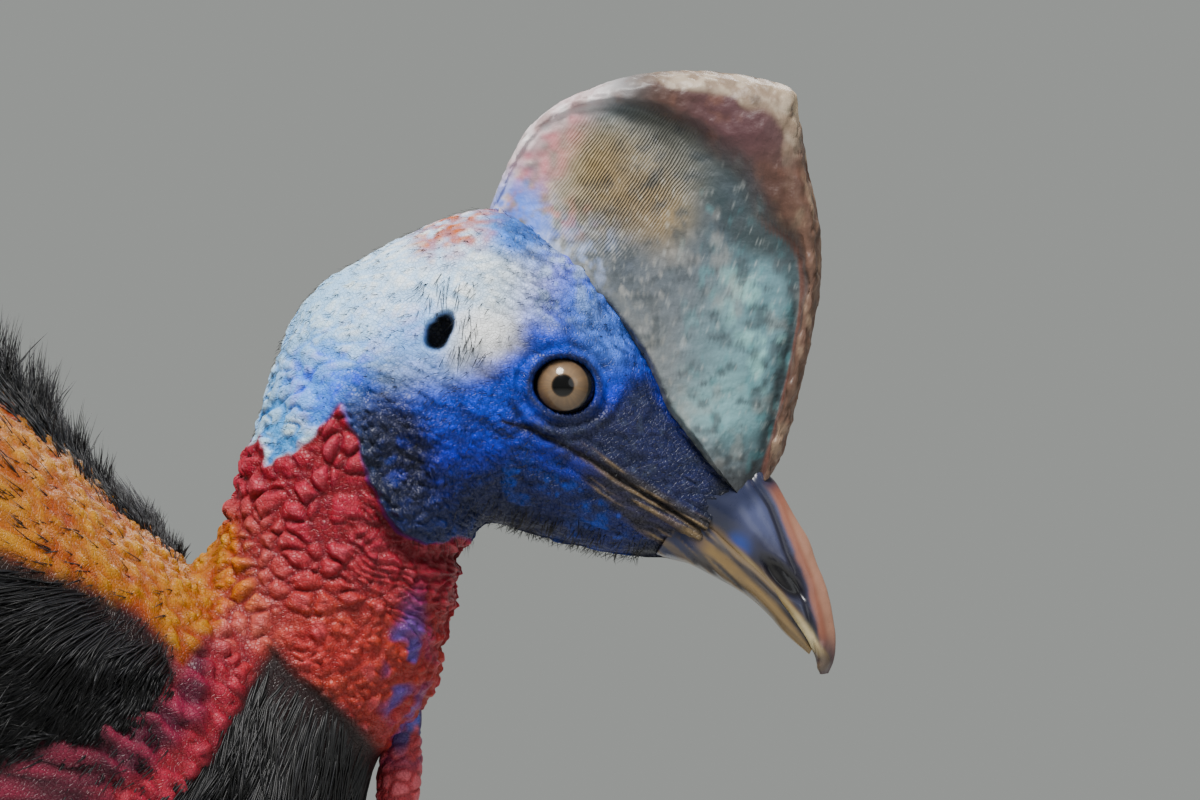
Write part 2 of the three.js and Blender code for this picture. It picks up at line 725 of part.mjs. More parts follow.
// A horn sheath between its two edges, widest near the mouth and narrow at the ridge.
function billShape(ribs, ridge, spans, grow = 0) {
  return solid(
    shell(10, spans, (turn, along, out) => {
      const [tx, tz, bx, bz, w] = rowAt(ribs, along);
      const up = (1 + power(Math.cos(turn), 0.8)) / 2;
      const narrow = lerp(1, ridge, smoothstep(up, 0.3, 1));
      const more = grow / Math.hypot(tx - bx, tz - bz);
      const h = out ? lerp(-more, 1 + more, up) : 0.5;
      return [
        eyeAt.x + lerp(bx, tx, h),
        out * (w * narrow + grow) * power(Math.sin(turn), 0.55),
        eyeAt.z + lerp(bz, tz, h),
      ];
    }),
  );
}

const nostril = { at: [74.2, -63.6], long: 6.4, wide: 2.3, deep: 4, slant: -47 };

function nostrilPits() {
  const cut = new THREE.SphereGeometry(1, 8, 6).scale(nostril.long, nostril.deep, nostril.wide);
  cut.rotateY(-degToRad(nostril.slant));
  cut.translate(eyeAt.x + nostril.at[0], 9.4, eyeAt.z + nostril.at[1]);
  const left = solid(cut);
  return unite([left, mirrored(left)]);
}

// Wattle: a single pear of loose skin, with its radius at even steps down its drop.
const wattle = { x: -50.6, top: -97, drop: 51 };
const wattleProfile = [[2.6], [4.4], [5.2], [6.0], [6.8], [7.4], [7.2], [5.6], [1.6]];

// Wings: a short stub with five bare quills that curve back and down over the flank.
const wing = {
  root: [96, 1.2], // x of the root, and its turn round the trunk from the back
  stub: vec(-62, 0, -26), // from the root to the stub's end
  stubThick: 14,
  stubEndThick: 9,
  stand: 34, // how far the stub's end stands off the plumage core
  quills: 5,
  quillThick: 2.1,
  quillTip: 0.9,
  quillLength: 215,
  lengthSpread: 34, // by how much the lowest quill is longer than the highest
  fall: 44, // how far a middle quill drops along its length
  fallSpread: 96, // the highest quill's extra drop over the lowest one's
  bow: 22, // and how far each one curves down besides
};

function wingShape(grow) {
  const t = Math.acos((wing.root[0] - trunk.middle) / trunk.half) / Math.PI;
  const stubAt = vec(...trunkPoint(t, wing.root[1], coreDepth + 10));
  const away = trunkOut(stubAt);
  const stubEnd = lifted(stubAt.clone().add(wing.stub), coreDepth + wing.stand);
  const stub = tube(
    [stubAt.clone().addScaledVector(away, -22), stubAt.clone().lerp(stubEnd, 0.5).addScaledVector(away, 8), stubEnd],
    (s) => lerp(wing.stubThick, wing.stubEndThick, s) + grow,
    8,
    5,
    0.8,
  );
  const quills = Array.from({ length: wing.quills }, (_, k) => {
    const spread = k / (wing.quills - 1) - 0.5;
    const points = [];
    for (let i = 0; i <= 4; i++) {
      const s = i / 4;
      const reach = s * (wing.quillLength + wing.lengthSpread * spread);
      const fall = s * (wing.fall - wing.fallSpread * spread) + wing.bow * s * s;
      const at = stubEnd.clone().add(vec(wing.stubEndThick + 5 - reach, 0, 12 * spread - fall));
      points.push(lifted(at, coreDepth + wing.stand - 4 + 7 * Math.sin(Math.PI * s) + 2 * k));
    }
    return solid(tube(points, (s) => lerp(wing.quillThick, wing.quillTip, s) + grow, 3, 4));
  });
  return unite([solid(stub), ...quills]);
}

// Materials, one for each finish
const finish = (color, roughness) => new THREE.MeshStandardMaterial({ color, roughness, metalness: 0 });
const blueSkin = finish(0x3f62b8, 0.65);
const redSkin = finish(0xb03a38, 0.6);
const wattleSkin = finish(0xb84a48, 0.55);
const feather = finish(0x15151a, 0.7);
const casqueHorn = finish(0x6b6e68, 0.45);
const billHorn = finish(0x5a5560, 0.35);
const eyeGloss = finish(0x8c7258, 0.08);
const quillHorn = finish(0x1a1a1c, 0.35);
const legScale = finish(0x6f6a5e, 0.6);
const clawHorn = finish(0x2c2724, 0.4);

const cassowary = new THREE.Group();
const add = (name, made, material, detail) => cassowary.add(nodeOf(name, made, material, detail));

// Head, casque, bill and eyes
const eyeball = solid(new THREE.SphereGeometry(eye.radius, 12, 8).translate(...eyeCentre.toArray()));
const eyeSocket = solid(new THREE.SphereGeometry(eye.radius + gap, 12, 8).translate(...eyeCentre.toArray()));
const nape = ribPlane(napeCut);
const earRim = cheekOval({ ...ear, long: ear.long + 2.6, wide: ear.wide + 2.6, deep: 2.2 });
const headSolid = unite([
  headShape(0),
  ...bothSides(lids()),
  ...bothSides(earRim),
  ...bothSides(lipRoll(1)),
  ...bothSides(lipRoll(-1)),
  ...bothSides(jowl()),
]).subtract(unite([...bothSides(eyeSocket), ...bothSides(cheekOval(ear)), ...bothSides(mouthGroove())]));
const billRoot = ribPlane(0);
add("head", inFront(behind(headSolid, nape.point, nape.normal), billRoot.point, billRoot.normal), blueSkin);
add("casque", casqueShape().subtract(headShape(gap)).subtract(billShape(upperBillRibs, 0.34, 9, 0.9)), casqueHorn);
const billCut = (made) => behind(made, billRoot.point, billRoot.normal);
add("bill_upper", billCut(billShape(upperBillRibs, 0.34, 9)).subtract(nostrilPits()), billHorn);
add("bill_lower", billCut(billShape(lowerBillRibs, 1, 7)).subtract(billShape(upperBillRibs, 0.34, 9, gap)), billHorn);
add("eye_left", eyeball, eyeGloss);
add("eye_right", mirrored(eyeball), eyeGloss);

// Neck and wattle
const bend = ribPlane(bendCut);
const stripBulb = { size: 9.5, stretch: 1.4 };
const neckBulbs = bulbs({ t0: 0.545, t1: 0.75, rows: 4, turn0: 0.5, turn1: 2.1, columns: 3, size: 10, stretch: 1.1 });
const stripBulbs = [
  [232, 748],
  [222, 732],
  [211, 741],
  [206, 724],
  [194, 733],
  [190, 716],
  [177, 726],
  [166, 712],
].map(([x, z]) => {
  const out = sideOut(x, z);
  const made = new THREE.IcosahedronGeometry(stripBulb.size, 0).rotateZ(0.5).scale(stripBulb.stretch, 1, 0.6);
  const ahead = vec(1, 0, 0.5).addScaledVector(out, -vec(1, 0, 0.5).dot(out)).normalize();
  const basis = new THREE.Matrix4().makeBasis(ahead, out.clone().cross(ahead), out);
  made.applyMatrix4(basis.setPosition(x, sideAt(x, z), z));
  return solid(made);
});
const folds = [0.6, 0.635, 0.675].map((t) => throatFold(t, 4.6));
const bodySolid = unite([neckLoft(0, 1, 0), trunkCore(0)]);
const wattleRoot = eyeAt.z + wattle.top;
const pearShape = (grow) =>
  solid(
    shell(10, 9, (turn, along, out) => {
      const r = (rowAt(wattleProfile, along)[0] + grow) * out;
      const [x, y] = [r * Math.cos(turn), 0.92 * r * Math.sin(turn)];
      const end = 2 * grow * (along - 0.5);
      return [eyeAt.x + wattle.x + x - 5 * along, y, wattleRoot - wattle.drop * along - end];
    }),
  );
const pearSocket = pearShape(gap);
const neckWarts = unite([...neckBulbs.flatMap(bothSides), ...stripBulbs.flatMap(bothSides), ...folds]);
const neckSkin = inFront(unite([bodySolid, neckWarts]), nape.point, nape.normal);

// Legs, made before the trunk because its locks are cut clear of them
const legs = {
  right: legShapes(-stride / 2),
  left: legShapes(stride / 2),
};
const place = (side, made) => (side === "left" ? mirrored(made) : made);

const wingSolid = wingShape(0);
const clear = gap + 1.2 * coatFineness; // how much wider than a limb its way through the plumage is
const limbBlocks = unite([
  ...Object.entries(legs).map(([side, leg]) =>
    place(side, unite([thighShape(leg, clear), ...thighLocks(leg, clear)])),
  ),
  ...bothSides(wingShape(clear)),
]);
const breast = { point: vec(160, 0, 770), normal: vec(-0.953, 0, -0.302) }; // between the neck's base and the torso
const rump = { point: vec(-318, 0, 0), normal: vec(-1, 0, 0) };
const wideBody = unite([neckLoft(0, 1, clear), trunkCore(clear)]);
const along = ({ point, normal }, by) => point.clone().addScaledVector(normal.clone().normalize(), by);
const bodyBefore = (plane) => behind(wideBody, along(plane, gap), plane.normal);
const bodyPast = (plane) => inFront(wideBody, along(plane, -gap), plane.normal);
const calmed = (pieces) => unite(pieces).simplify(coatFineness);
const neckBase = calmed([behind(neckSkin, breast.point, breast.normal), ...neckPlumage(0)]).subtract(bodyPast(breast));
const trunkFront = behind(inFront(bodySolid, breast.point, breast.normal), rump.point, rump.normal);
const torsoCoat = inFront(unite(lockSolids(torsoLocks, 0)), breast.point, breast.normal);
const torsoOut = calmed([trunkFront, torsoCoat]).subtract(unite([bodyBefore(breast), bodyPast(rump), limbBlocks]));
const trunkBack = inFront(bodySolid, rump.point, rump.normal);
const tailSolid = calmed([trunkBack, ...lockSolids(tailLocks, 0)]).subtract(unite(lockSolids(torsoLocks, clear)));
add("neck_upper", behind(neckSkin, bend.point, bend.normal).subtract(pearSocket), redSkin);
add("neck_base", inFront(neckBase, bend.point, bend.normal).subtract(pearSocket), redSkin);
add("wattle", pearShape(0), wattleSkin);
add("torso", unite([torsoOut, trunkFront]).subtract(unite(neckPlumage(clear))), feather);
add("tail", inFront(tailSolid, rump.point, rump.normal), feather);
add("wing_left", wingSolid.subtract(trunkCore(gap)), quillHorn);
add("wing_right", mirrored(wingSolid).subtract(trunkCore(gap)), quillHorn);

for (const [side, leg] of Object.entries(legs)) {
  const hockPlane = { point: leg.hock, normal: vec(0, 0, -1) };
  const anklePlane = { point: leg.foot.clone().add(vec(-8, 0, 40)), normal: vec(0, 0, -1) };
  const thigh = place(side, calmed([thighShape(leg, 0), ...thighLocks(leg, 0)])).subtract(trunkCore(gap));
  const ankle = leg.foot.clone().add(vec(-4, 0, 22));
  const shank = solid(limb(ankle, leg.hock.clone().lerp(leg.knee, 0.06), shankRows, 9, 11, 0, 1.4));
  const thighHock = { point: leg.hock.clone().setY(0), normal: hockPlane.normal };
  add("thigh_" + side, behind(thigh, thighHock.point, thighHock.normal), feather);
  add(
    "shank_" + side,
    place(side, inFront(behind(shank, anklePlane.point, anklePlane.normal), hockPlane.point, hockPlane.normal)),
    legScale,
  );
  const pad = new THREE.SphereGeometry(1, 9, 5).scale(34, 31, 27).translate(leg.foot.x - 2, leg.foot.y, 18);
  const above = (made) => behind(made, vec(0, 0, -gap / 2), vec(0, 0, -1));
  const parts = Object.entries(toes).map(([name, toe]) => [name, toeParts(leg.foot, toe)]);
  let foot = unite([solid(pad), inFront(shank, anklePlane.point, anklePlane.normal)]);
  for (const [, { start, ahead }] of parts) foot = behind(foot, start.clone().addScaledVector(ahead, -gap), ahead);
  foot = inFront(foot, anklePlane.point, anklePlane.normal);
  add("foot_" + side, place(side, above(foot)), legScale);
  const taken = [];
  for (const [name, { toe, room, claw }] of parts) {
    let free = above(toe);
    for (const one of taken) free = free.subtract(one);
    taken.push(room);
    add(`toe_${name}_${side}`, place(side, free), legScale);
    add(`claw_${name}_${side}`, place(side, claw), clawHorn);
  }
}

cassowary.position.x = originShift;

export default cassowary;
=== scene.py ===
import bpy
import math
import numpy as np
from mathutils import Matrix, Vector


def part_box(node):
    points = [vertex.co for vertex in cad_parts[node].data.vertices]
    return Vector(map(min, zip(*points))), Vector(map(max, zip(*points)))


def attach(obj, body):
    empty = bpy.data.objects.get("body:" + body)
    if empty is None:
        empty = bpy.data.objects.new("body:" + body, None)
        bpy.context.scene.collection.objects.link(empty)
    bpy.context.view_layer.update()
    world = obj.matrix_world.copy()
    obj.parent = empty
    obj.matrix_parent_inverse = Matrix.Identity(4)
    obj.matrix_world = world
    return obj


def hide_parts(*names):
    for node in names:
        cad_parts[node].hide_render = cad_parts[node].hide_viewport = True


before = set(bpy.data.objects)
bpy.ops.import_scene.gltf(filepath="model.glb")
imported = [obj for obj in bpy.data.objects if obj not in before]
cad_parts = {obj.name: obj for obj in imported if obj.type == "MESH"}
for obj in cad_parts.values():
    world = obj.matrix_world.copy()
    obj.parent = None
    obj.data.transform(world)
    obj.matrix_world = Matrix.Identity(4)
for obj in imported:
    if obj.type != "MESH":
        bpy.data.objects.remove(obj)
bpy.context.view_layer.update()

# Sizes are in millimetres until a mesh is made. Places on the head are [forward, up] from the eye's middle.
eyeX, eyeZ = 342.0, 855.0
eyeLow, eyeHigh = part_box("eye_left")
shift = (eyeLow[0] + eyeHigh[0]) / 2 - eyeX * 0.001
rng = np.random.default_rng(7)


# Tables and noise

def rowAt(rows, t):
    rows = np.asarray(rows, float)
    t = np.clip(np.asarray(t, float), 0, len(rows) - 1)
    i = np.minimum(t.astype(int), len(rows) - 2)
    u = (t - i)[..., None]
    p0, p1 = rows[np.maximum(i - 1, 0)], rows[i]
    p2, p3 = rows[i + 1], rows[np.minimum(i + 2, len(rows) - 1)]
    v1, v2 = (p2 - p0) / 2, (p3 - p1) / 2
    return p1 + u * (v1 + u * (3 * (p2 - p1) - 2 * v1 - v2 + u * (2 * (p1 - p2) + v1 + v2)))


def smooth(v, low, high):
    t = np.clip((v - low) / (high - low), 0, 1)
    return t * t * (3 - 2 * t)


def swell(distance, width):
    return np.exp(-(distance / width) ** 2)


def power(v, e):
    return np.sign(v) * np.abs(v) ** e


def chance(ix, iy, iz, seed):
    h = (ix * 73856093) ^ (iy * 19349663) ^ (iz * 83492791) ^ (seed * 2654435)
    h = (h ^ (h >> 13)) * 1274126177 & 0xFFFFFFFF
    h = (h ^ (h >> 16)) * 668265263 & 0xFFFFFFFF
    return ((h ^ (h >> 15)) & 0xFFFFFF) / float(0xFFFFFF)


def noise(p, size, seed=0):
    q = np.asarray(p) / size
    base = np.floor(q).astype(np.int64)
    f = q - base
    f = f * f * (3 - 2 * f)
    total = 0
    for dx in (0, 1):
        for dy in (0, 1):
            for dz in (0, 1):
                w = f[:, 0] if dx else 1 - f[:, 0]
                w = w * (f[:, 1] if dy else 1 - f[:, 1])
                w = w * (f[:, 2] if dz else 1 - f[:, 2])
                total = total + w * chance(base[:, 0] + dx, base[:, 1] + dy, base[:, 2] + dz, seed)
    return total * 2 - 1


def layers(p, size, count=3, seed=0):
    return sum(noise(p, size / 2 ** k, seed + k) / 2 ** k for k in range(count))


def mottled(p, size, count, seed, low, high):
    return smooth(layers(p, size, count, seed), low, high)


def creases(p, slant, stretch, size, seed, thin=0.2):
    a = math.radians(slant)
    u, v = p[:, 0] * math.cos(a) + p[:, 2] * math.sin(a), -p[:, 0] * math.sin(a) + p[:, 2] * math.cos(a)
    return np.exp(-(noise(np.stack([u * stretch, p[:, 1] * 0.6, v], 1), size, seed) / thin) ** 2)


# Distances to the nearest and second nearest point of a jittered grid, and the nearest one's own number
def cells(p, size, seed=0):
    q = np.asarray(p) / size
    base = np.floor(q).astype(np.int64)
    near = np.full(len(q), 9.0)
    second = np.full(len(q), 9.0)
    own = np.zeros(len(q))
    for dx in (-1, 0, 1):
        for dy in (-1, 0, 1):
            for dz in (-1, 0, 1):
                c = base + [dx, dy, dz]
                spot = c + np.stack([chance(c[:, 0], c[:, 1], c[:, 2], seed + k) for k in (1, 2, 3)], 1)
                d = np.linalg.norm(spot - q, axis=1)
                nearer = d < near
                second = np.where(nearer, near, np.minimum(second, d))
                own = np.where(nearer, chance(c[:, 0], c[:, 1], c[:, 2], seed + 4), own)
                near = np.where(nearer, d, near)
    return near, second, own


def tint(code):
    v = np.array([int(code[i:i + 2], 16) for i in (1, 3, 5)]) / 255
    return np.where(v < 0.04045, v / 12.92, ((v + 0.055) / 1.055) ** 2.4)


# Masks over the side view, as shares from 0 to 1

def oval(x, z, at, size, slant=0.0, soft=0.3):
    a = math.radians(slant)
    u = (x - at[0]) * math.cos(a) + (z - at[1]) * math.sin(a)
    v = -(x - at[0]) * math.sin(a) + (z - at[1]) * math.cos(a)
    d = np.sqrt((u / size[0]) ** 2 + (v / size[1]) ** 2)
    return 1 - smooth(d, 1 - soft, 1 + soft)


# Distance to a broken line, and the share of its length at the nearest place
def lineDistance(x, z, points):
    points = np.asarray(points, float)
    lengths = np.hypot(*np.diff(points, axis=0).T)
    best = np.full(x.shape, 1e9)
    share = np.zeros(x.shape)
    done = 0.0
    for a, b, length in zip(points[:-1], points[1:], lengths):
        t = np.clip(((x - a[0]) * (b[0] - a[0]) + (z - a[1]) * (b[1] - a[1])) / length ** 2, 0, 1)
        d = np.hypot(x - a[0] - t * (b[0] - a[0]), z - a[1] - t * (b[1] - a[1]))
        share = np.where(d < best, (done + t * length) / lengths.sum(), share)
        best = np.minimum(best, d)
        done += length
    return best, share


# How far inside an outline, as a share over a soft edge
def region(x, z, points, soft=2.0):
    points = np.asarray(points, float)
    inside = np.zeros(x.shape, bool)
    for a, b in zip(points, np.roll(points, -1, axis=0)):
        crosses = (a[1] > z) != (b[1] > z)
        with np.errstate(divide="ignore", invalid="ignore"):
            at = (b[0] - a[0]) * (z - a[1]) / (b[1] - a[1]) + a[0]
        inside ^= crosses & (x < at)
    d, _ = lineDistance(x, z, np.vstack([points, points[:1]]))
    return smooth(np.where(inside, d, -d), -soft, soft)


def vivid(colour, by):
    grey = colour @ np.array([0.2126, 0.7152, 0.0722])
    return np.clip(grey[:, None] + (colour - grey[:, None]) * by, 0.0004, 1)


def plain(code, count):
    return np.tile(tint(code), (count, 1))


# Laid over one another in turn, each as a colour and the mask it shows through
def painted(colour, *coats):
    for code, mask in coats:
        colour = colour + (tint(code) - colour) * np.clip(mask, 0, 1)[:, None]
    return colour


# Meshes

def meshOf(name, points, faces, material, colour=None, extra=None):
    mesh = bpy.data.meshes.new(name)
    points = np.asarray(points, np.float32) * 0.001 + np.float32([shift, 0, 0])
    faces = np.asarray(faces, np.int32)
    sides = faces.shape[1]
    mesh.vertices.add(len(points))
    mesh.vertices.foreach_set("co", points.ravel())
    mesh.loops.add(faces.size)
    mesh.loops.foreach_set("vertex_index", faces.ravel())
    mesh.polygons.add(len(faces))
    mesh.polygons.foreach_set("loop_start", np.arange(0, faces.size, sides, dtype=np.int32))
    mesh.update(calc_edges=True)
    mesh.validate()
    mesh.shade_smooth()
    if colour is not None:
        layer = mesh.color_attributes.new("tint", "FLOAT_COLOR", "POINT")
        layer.data.foreach_set("color",
            np.hstack([colour, np.ones((len(colour), 1))]).astype(np.float32).ravel())
    for key, values in (extra or {}).items():
        layer = mesh.attributes.new(key, "FLOAT", "POINT")
        layer.data.foreach_set("value", np.asarray(values, np.float32))
    mesh.materials.append(material)
    made = bpy.data.objects.new(name, mesh)
    bpy.context.scene.collection.objects.link(made)
    return made


def roundTurns(count):
    return np.linspace(0, 2 * math.pi, count, endpoint=False)[None]


def standIn(piece, slotName, *nodes):
    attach(piece, "root")
    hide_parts(*nodes)


def gridFaces(rows, columns):
    i, j = np.meshgrid(np.arange(rows - 1), np.arange(columns), indexing="ij")
    k = (j + 1) % columns
    corners = [i * columns + j, i * columns + k, (i + 1) * columns + k, (i + 1) * columns + j]
    return np.stack(corners, -1).reshape(-1, 4)


# Outward normals of a closed grid of points, rows along and columns round
def gridNormals(p):
    along = np.gradient(p, axis=0)
    around = np.roll(p, -1, 1) - np.roll(p, 1, 1)
    n = np.cross(around, along)
    n /= np.maximum(np.linalg.norm(n, axis=2, keepdims=True), 1e-9)
    centre = p.mean(1, keepdims=True)
    if ((p - centre) * n).sum() < 0:
        n = -n
    return n


# Points and outward normals of a grid as lists, with the places forward of and above the eye
def unrolled(grid):
    flat = grid.reshape(-1, 3)
    return flat, gridNormals(grid).reshape(-1, 3), flat[:, 0] - eyeX, flat[:, 2] - eyeZ


# A grid with a point at each end, as vertices and faces of three corners at the ends
def closed(p):
    rows, columns = p.shape[:2]
    points = np.vstack([p.reshape(-1, 3), p[0].mean(0), p[-1].mean(0)])
    faces = gridFaces(rows, columns)
    j = np.arange(columns)
    k = (j + 1) % columns
    first = np.stack([j * 0 + rows * columns, k, j, j], 1)
    last = np.stack([j * 0 + rows * columns + 1, (rows - 1) * columns + j, (rows - 1) * columns + k,
        (rows - 1) * columns + k], 1)
    return points, faces, first[:, :3], last[:, :3]


# A closed piece from a grid of points; its ends are filled
def gridPiece(name, p, material, colour=None, extra=None):
    points, faces, first, last = closed(p)
    if ((p - p.mean((0, 1))) * np.cross(np.roll(p, -1, 1) - p, np.gradient(p, axis=0))).sum() < 0:
        faces, first, last = faces[:, ::-1], first[:, ::-1], last[:, ::-1]
    caps = np.vstack([first, last])
    triangles = np.vstack([faces[:, [0, 1, 2]], faces[:, [0, 2, 3]], caps])
    if colour is not None:
        colour = np.vstack([colour, colour[:1], colour[-1:]])
    extra = {k: np.append(v, [v[0], v[-1]]) for k, v in (extra or {}).items()}
    return meshOf(name, points, triangles, material, colour, extra)


# Materials

# One output of a shader node, for arithmetic between outputs and numbers
class Wire:
    def __init__(self, tree, socket):
        self.tree, self.socket = tree, socket

    def math(self, kind, a, b=None):
        return node(self.tree, "Math", {"operation": kind}, {0: a, **({} if b is None else {1: b})})

    def __add__(self, other):
        return self.math("ADD", self, other)

    def __sub__(self, other):
        return self.math("SUBTRACT", self, other)

    def __mul__(self, other):
        return self.math("MULTIPLY", self, other)

    def __rsub__(self, other):
        return self.math("SUBTRACT", other, self)

    __radd__ = __add__
    __rmul__ = __mul__


def node(tree, kind, settings=None, inputs=None, output=0):
    made = tree.nodes.new("ShaderNode" + kind)
    for key, value in (settings or {}).items():
        setattr(made, key, value)
    for key, value in (inputs or {}).items():
        if isinstance(value, Wire):
            tree.links.new(value.socket, made.inputs[key])
        else:
            made.inputs[key].default_value = value
    return Wire(tree, made.outputs[output])


def newMaterial(name, roughness):
    material = bpy.data.materials.new(name)
    material.use_nodes = True
    tree = material.node_tree
    surface = tree.nodes["Principled BSDF"]
    surface.inputs["Roughness"].default_value = roughness
    return material, tree, surface


def connect(tree, wire, surface, key):
    tree.links.new(wire.socket, surface.inputs[key])


# The object's own coordinates in metres, turned about Y
def place(tree, turn=0.0):
    coords = node(tree, "TexCoord", output=3)
    return node(tree, "Mapping", inputs={0: coords, 2: (0, math.radians(turn), 0)})


def bump(tree, height, strength, distance, **over):
    return node(tree, "Bump", inputs={"Strength": strength, "Distance": distance, "Height": height,
        **over})


def mixColour(tree, factor, a, b):
    return node(tree, "Mix", {"data_type": "RGBA"}, {0: factor, 6: a, 7: b}, 2)


def darkened(tree, colour, tone):
    tones = node(tree, "CombineXYZ", inputs={0: tone, 1: tone, 2: tone})
    return node(tree, "VectorMath", {"operation": "MULTIPLY"}, {0: colour, 1: tones})


def grain(tree, scale, detail):
    return node(tree, "TexNoise", inputs={"Vector": place(tree), "Scale": scale, "Detail": detail})


# Painted by its tint attribute, with mottling, a grain bump and a roughness that follows the grain
def tintedMaterial(name, roughness, grainScale, grainDepth, mottle, fine=None, coatWeight=0.0,
        gloss=0.32):
    material, tree, surface = newMaterial(name, roughness)
    colour = node(tree, "Attribute", {"attribute_name": "tint"})
    speckle = grain(tree, grainScale * 0.6, 4.0)
    shade = speckle * (2 * mottle) + (1 - mottle)
    connect(tree, darkened(tree, colour, shade), surface, "Base Color")
    height = grain(tree, grainScale, 5.0)
    if fine:
        folds = node(tree, "TexVoronoi", {"feature": "DISTANCE_TO_EDGE"},
            {"Vector": place(tree), "Scale": fine})
        height = height + node(tree, "Math", {"operation": "MINIMUM"}, {0: folds, 1: 0.12}) * 6.0
    connect(tree, bump(tree, height, 0.8, grainDepth), surface, "Normal")
    connect(tree, speckle * 0.2 + (roughness - 0.1), surface, "Roughness")
    surface.inputs["Specular IOR Level"].default_value = gloss
    surface.inputs["Coat Weight"].default_value = coatWeight
    surface.inputs["Coat Roughness"].default_value = 0.25
    return material


wavePitch = 0.314  # the wave texture's scale at which bands stand one unit apart


def ribbed(material, slant, spacing, wavy, dark=0.08, bright=1.5):
    tree = material.node_tree
    surface = tree.nodes["Principled BSDF"]
    wave = node(tree, "TexWave", {"bands_direction": "X"}, {
        "Vector": place(tree, slant - 90), "Scale": wavePitch / spacing, "Distortion": wavy,
        "Detail": 3.0, "Detail Scale": 0.3}, 1)
    share = node(tree, "Attribute", {"attribute_name": "rib"}, output=2)
    before = Wire(tree, surface.inputs["Base Color"].links[0].from_socket)
    tone = (wave * (bright - dark) + dark) * share + (1 - share)
    connect(tree, darkened(tree, before, tone), surface, "Base Color")
    grained = Wire(tree, surface.inputs["Normal"].links[0].from_socket)
    connect(tree, bump(tree, wave * share, 0.9, 0.0006, Normal=grained), surface, "Normal")


faceSkin = tintedMaterial("faceSkin", 0.44, 1100, 0.00028, 0.1, fine=760)
hornCasque = tintedMaterial("hornCasque", 0.5, 420, 0.0005, 0.16, coatWeight=0.1)
ribbed(hornCasque, 56, 0.00095, 7.0)
hornBill = tintedMaterial("hornBill", 0.3, 500, 0.00008, 0.08, coatWeight=0.25)
legSkin = tintedMaterial("legSkin", 0.5, 500, 0.0003, 0.15)
clawHorn = tintedMaterial("clawHorn", 0.35, 300, 0.0001, 0.15, coatWeight=0.2)
eyeball = tintedMaterial("eyeball", 0.1, 900, 0.00001, 0.1, coatWeight=0.1, gloss=0.3)


def featherMaterial(name, dark, lit, roughness):
    material, tree, surface = newMaterial(name, roughness)
    share = node(tree, "Attribute", {"attribute_name": "shade"}, output=2)
    connect(tree, mixColour(tree, share, (*tint(dark), 1), (*tint(lit), 1)), surface, "Base Color")
    surface.inputs["Specular IOR Level"].default_value = 0.5
    return material


feather = featherMaterial("feather", "#040405", "#222227", 0.5)
print("materials ready")


# Skin of head, neck and trunk: each rib from the bill's root back is
# [upper x, upper z, lower x, lower z, half width]
headRibs = [
    [58.9, -27.8, 39.9, -58.5, 13], [49.1, -15.4, 25.5, -55.9, 16.5], [37.3, 0.0, 9.2, -53.0, 21],
    [25.5, 19.6, -7.2, -48.4, 27], [12.4, 40.2, -19.3, -44.5, 31.5], [-5.6, 51.3, -25.5, -43.2, 34],
    [-24.2, 57.6, -28.8, -44.8, 35], [-43.2, 52.3, -31.4, -49.1, 35.5], [-62.8, 42.8, -34.0, -54.9, 35.5],
    [-80.8, 31.1, -35.6, -62.1, 35], [-91.6, 14.7, -36.6, -70.3, 34.5], [-97.8, -6.5, -38.6, -76.8, 34],
    [-103.0, -23.9, -40.5, -85.0, 34], [-107.9, -40.9, -41.5, -94.8, 34.5],
    [-114.5, -53.3, -46.5, -105.0, 35],
    [-121.6, -59.2, -58.0, -119.0, 36],
]
trunkRibs = [
    [215.8, 797.8, 276, 714, 41], [207.3, 806.9, 273, 688, 48], [192.6, 820.0, 268, 662, 57],
    [174.6, 840.3, 258, 636, 68],
    [156, 859.3, 232, 612, 81], [134, 876, 196, 592, 95], [108, 890, 152, 575, 110],
    [76, 903, 100, 560, 126],
    [36, 916, 42, 549, 141], [-12, 927, -14, 543, 152], [-64, 934, -70, 546, 158],
    [-120, 934, -128, 556, 157],
    [-176, 927, -184, 572, 149], [-230, 911, -236, 594, 135], [-278, 887, -282, 620, 115],
    [-320, 856, -320, 648, 92],
    [-352, 822, -350, 676, 66], [-376, 786, -372, 704, 38], [-391, 752, -391, 738, 4],
]
skin = {"headRows": 26, "neckRows": 18, "bodyRows": 3, "columns": 350, "wart": 7.6, "wartHeight": 2.6,
    "wrinkle": 0.35}
skinRibs = [[a + eyeX, b + eyeZ, c + eyeX, d + eyeZ, w] for a, b, c, d, w in headRibs] + trunkRibs


# The point of the smooth skin at a rib number and a turn from the back towards the left
def skinPoint(t, turn, grow=0.0):
    tx, tz, bx, bz, w = np.moveaxis(rowAt(skinRibs, t), -1, 0)
    half = np.hypot(tx - bx, tz - bz) / 2
    square = 2.2
    c, s = power(np.cos(turn), 2 / square), power(np.sin(turn), 2 / square)
    k = (half + grow) / half * c / 2
    return np.stack([(tx + bx) / 2 + (tx - bx) * k, (w + grow) * s, (tz + bz) / 2 + (tz - bz) * k], -1)


steps = np.concatenate([
    np.linspace(0, 15, 15 * skin["headRows"], endpoint=False),
    np.linspace(15, 20, 5 * skin["neckRows"], endpoint=False),
    np.linspace(20, 34, 14 * skin["bodyRows"]),
])
stepGrid, turnGrid = np.meshgrid(steps, roundTurns(skin["columns"]), indexing="ij")
grid = skinPoint(stepGrid, turnGrid)
p, n, x, z = unrolled(grid)
rough = layers(p, 14, 3, 5)
wx, wz = x + 2.2 * noise(p, 9, 21), z + 2.2 * noise(p, 9, 22)
fineX, fineZ = x + 0.8 * noise(p, 3, 23), z + 0.8 * noise(p, 3, 24)
facing = np.abs(n[:, 1])
print("skin points", len(p))

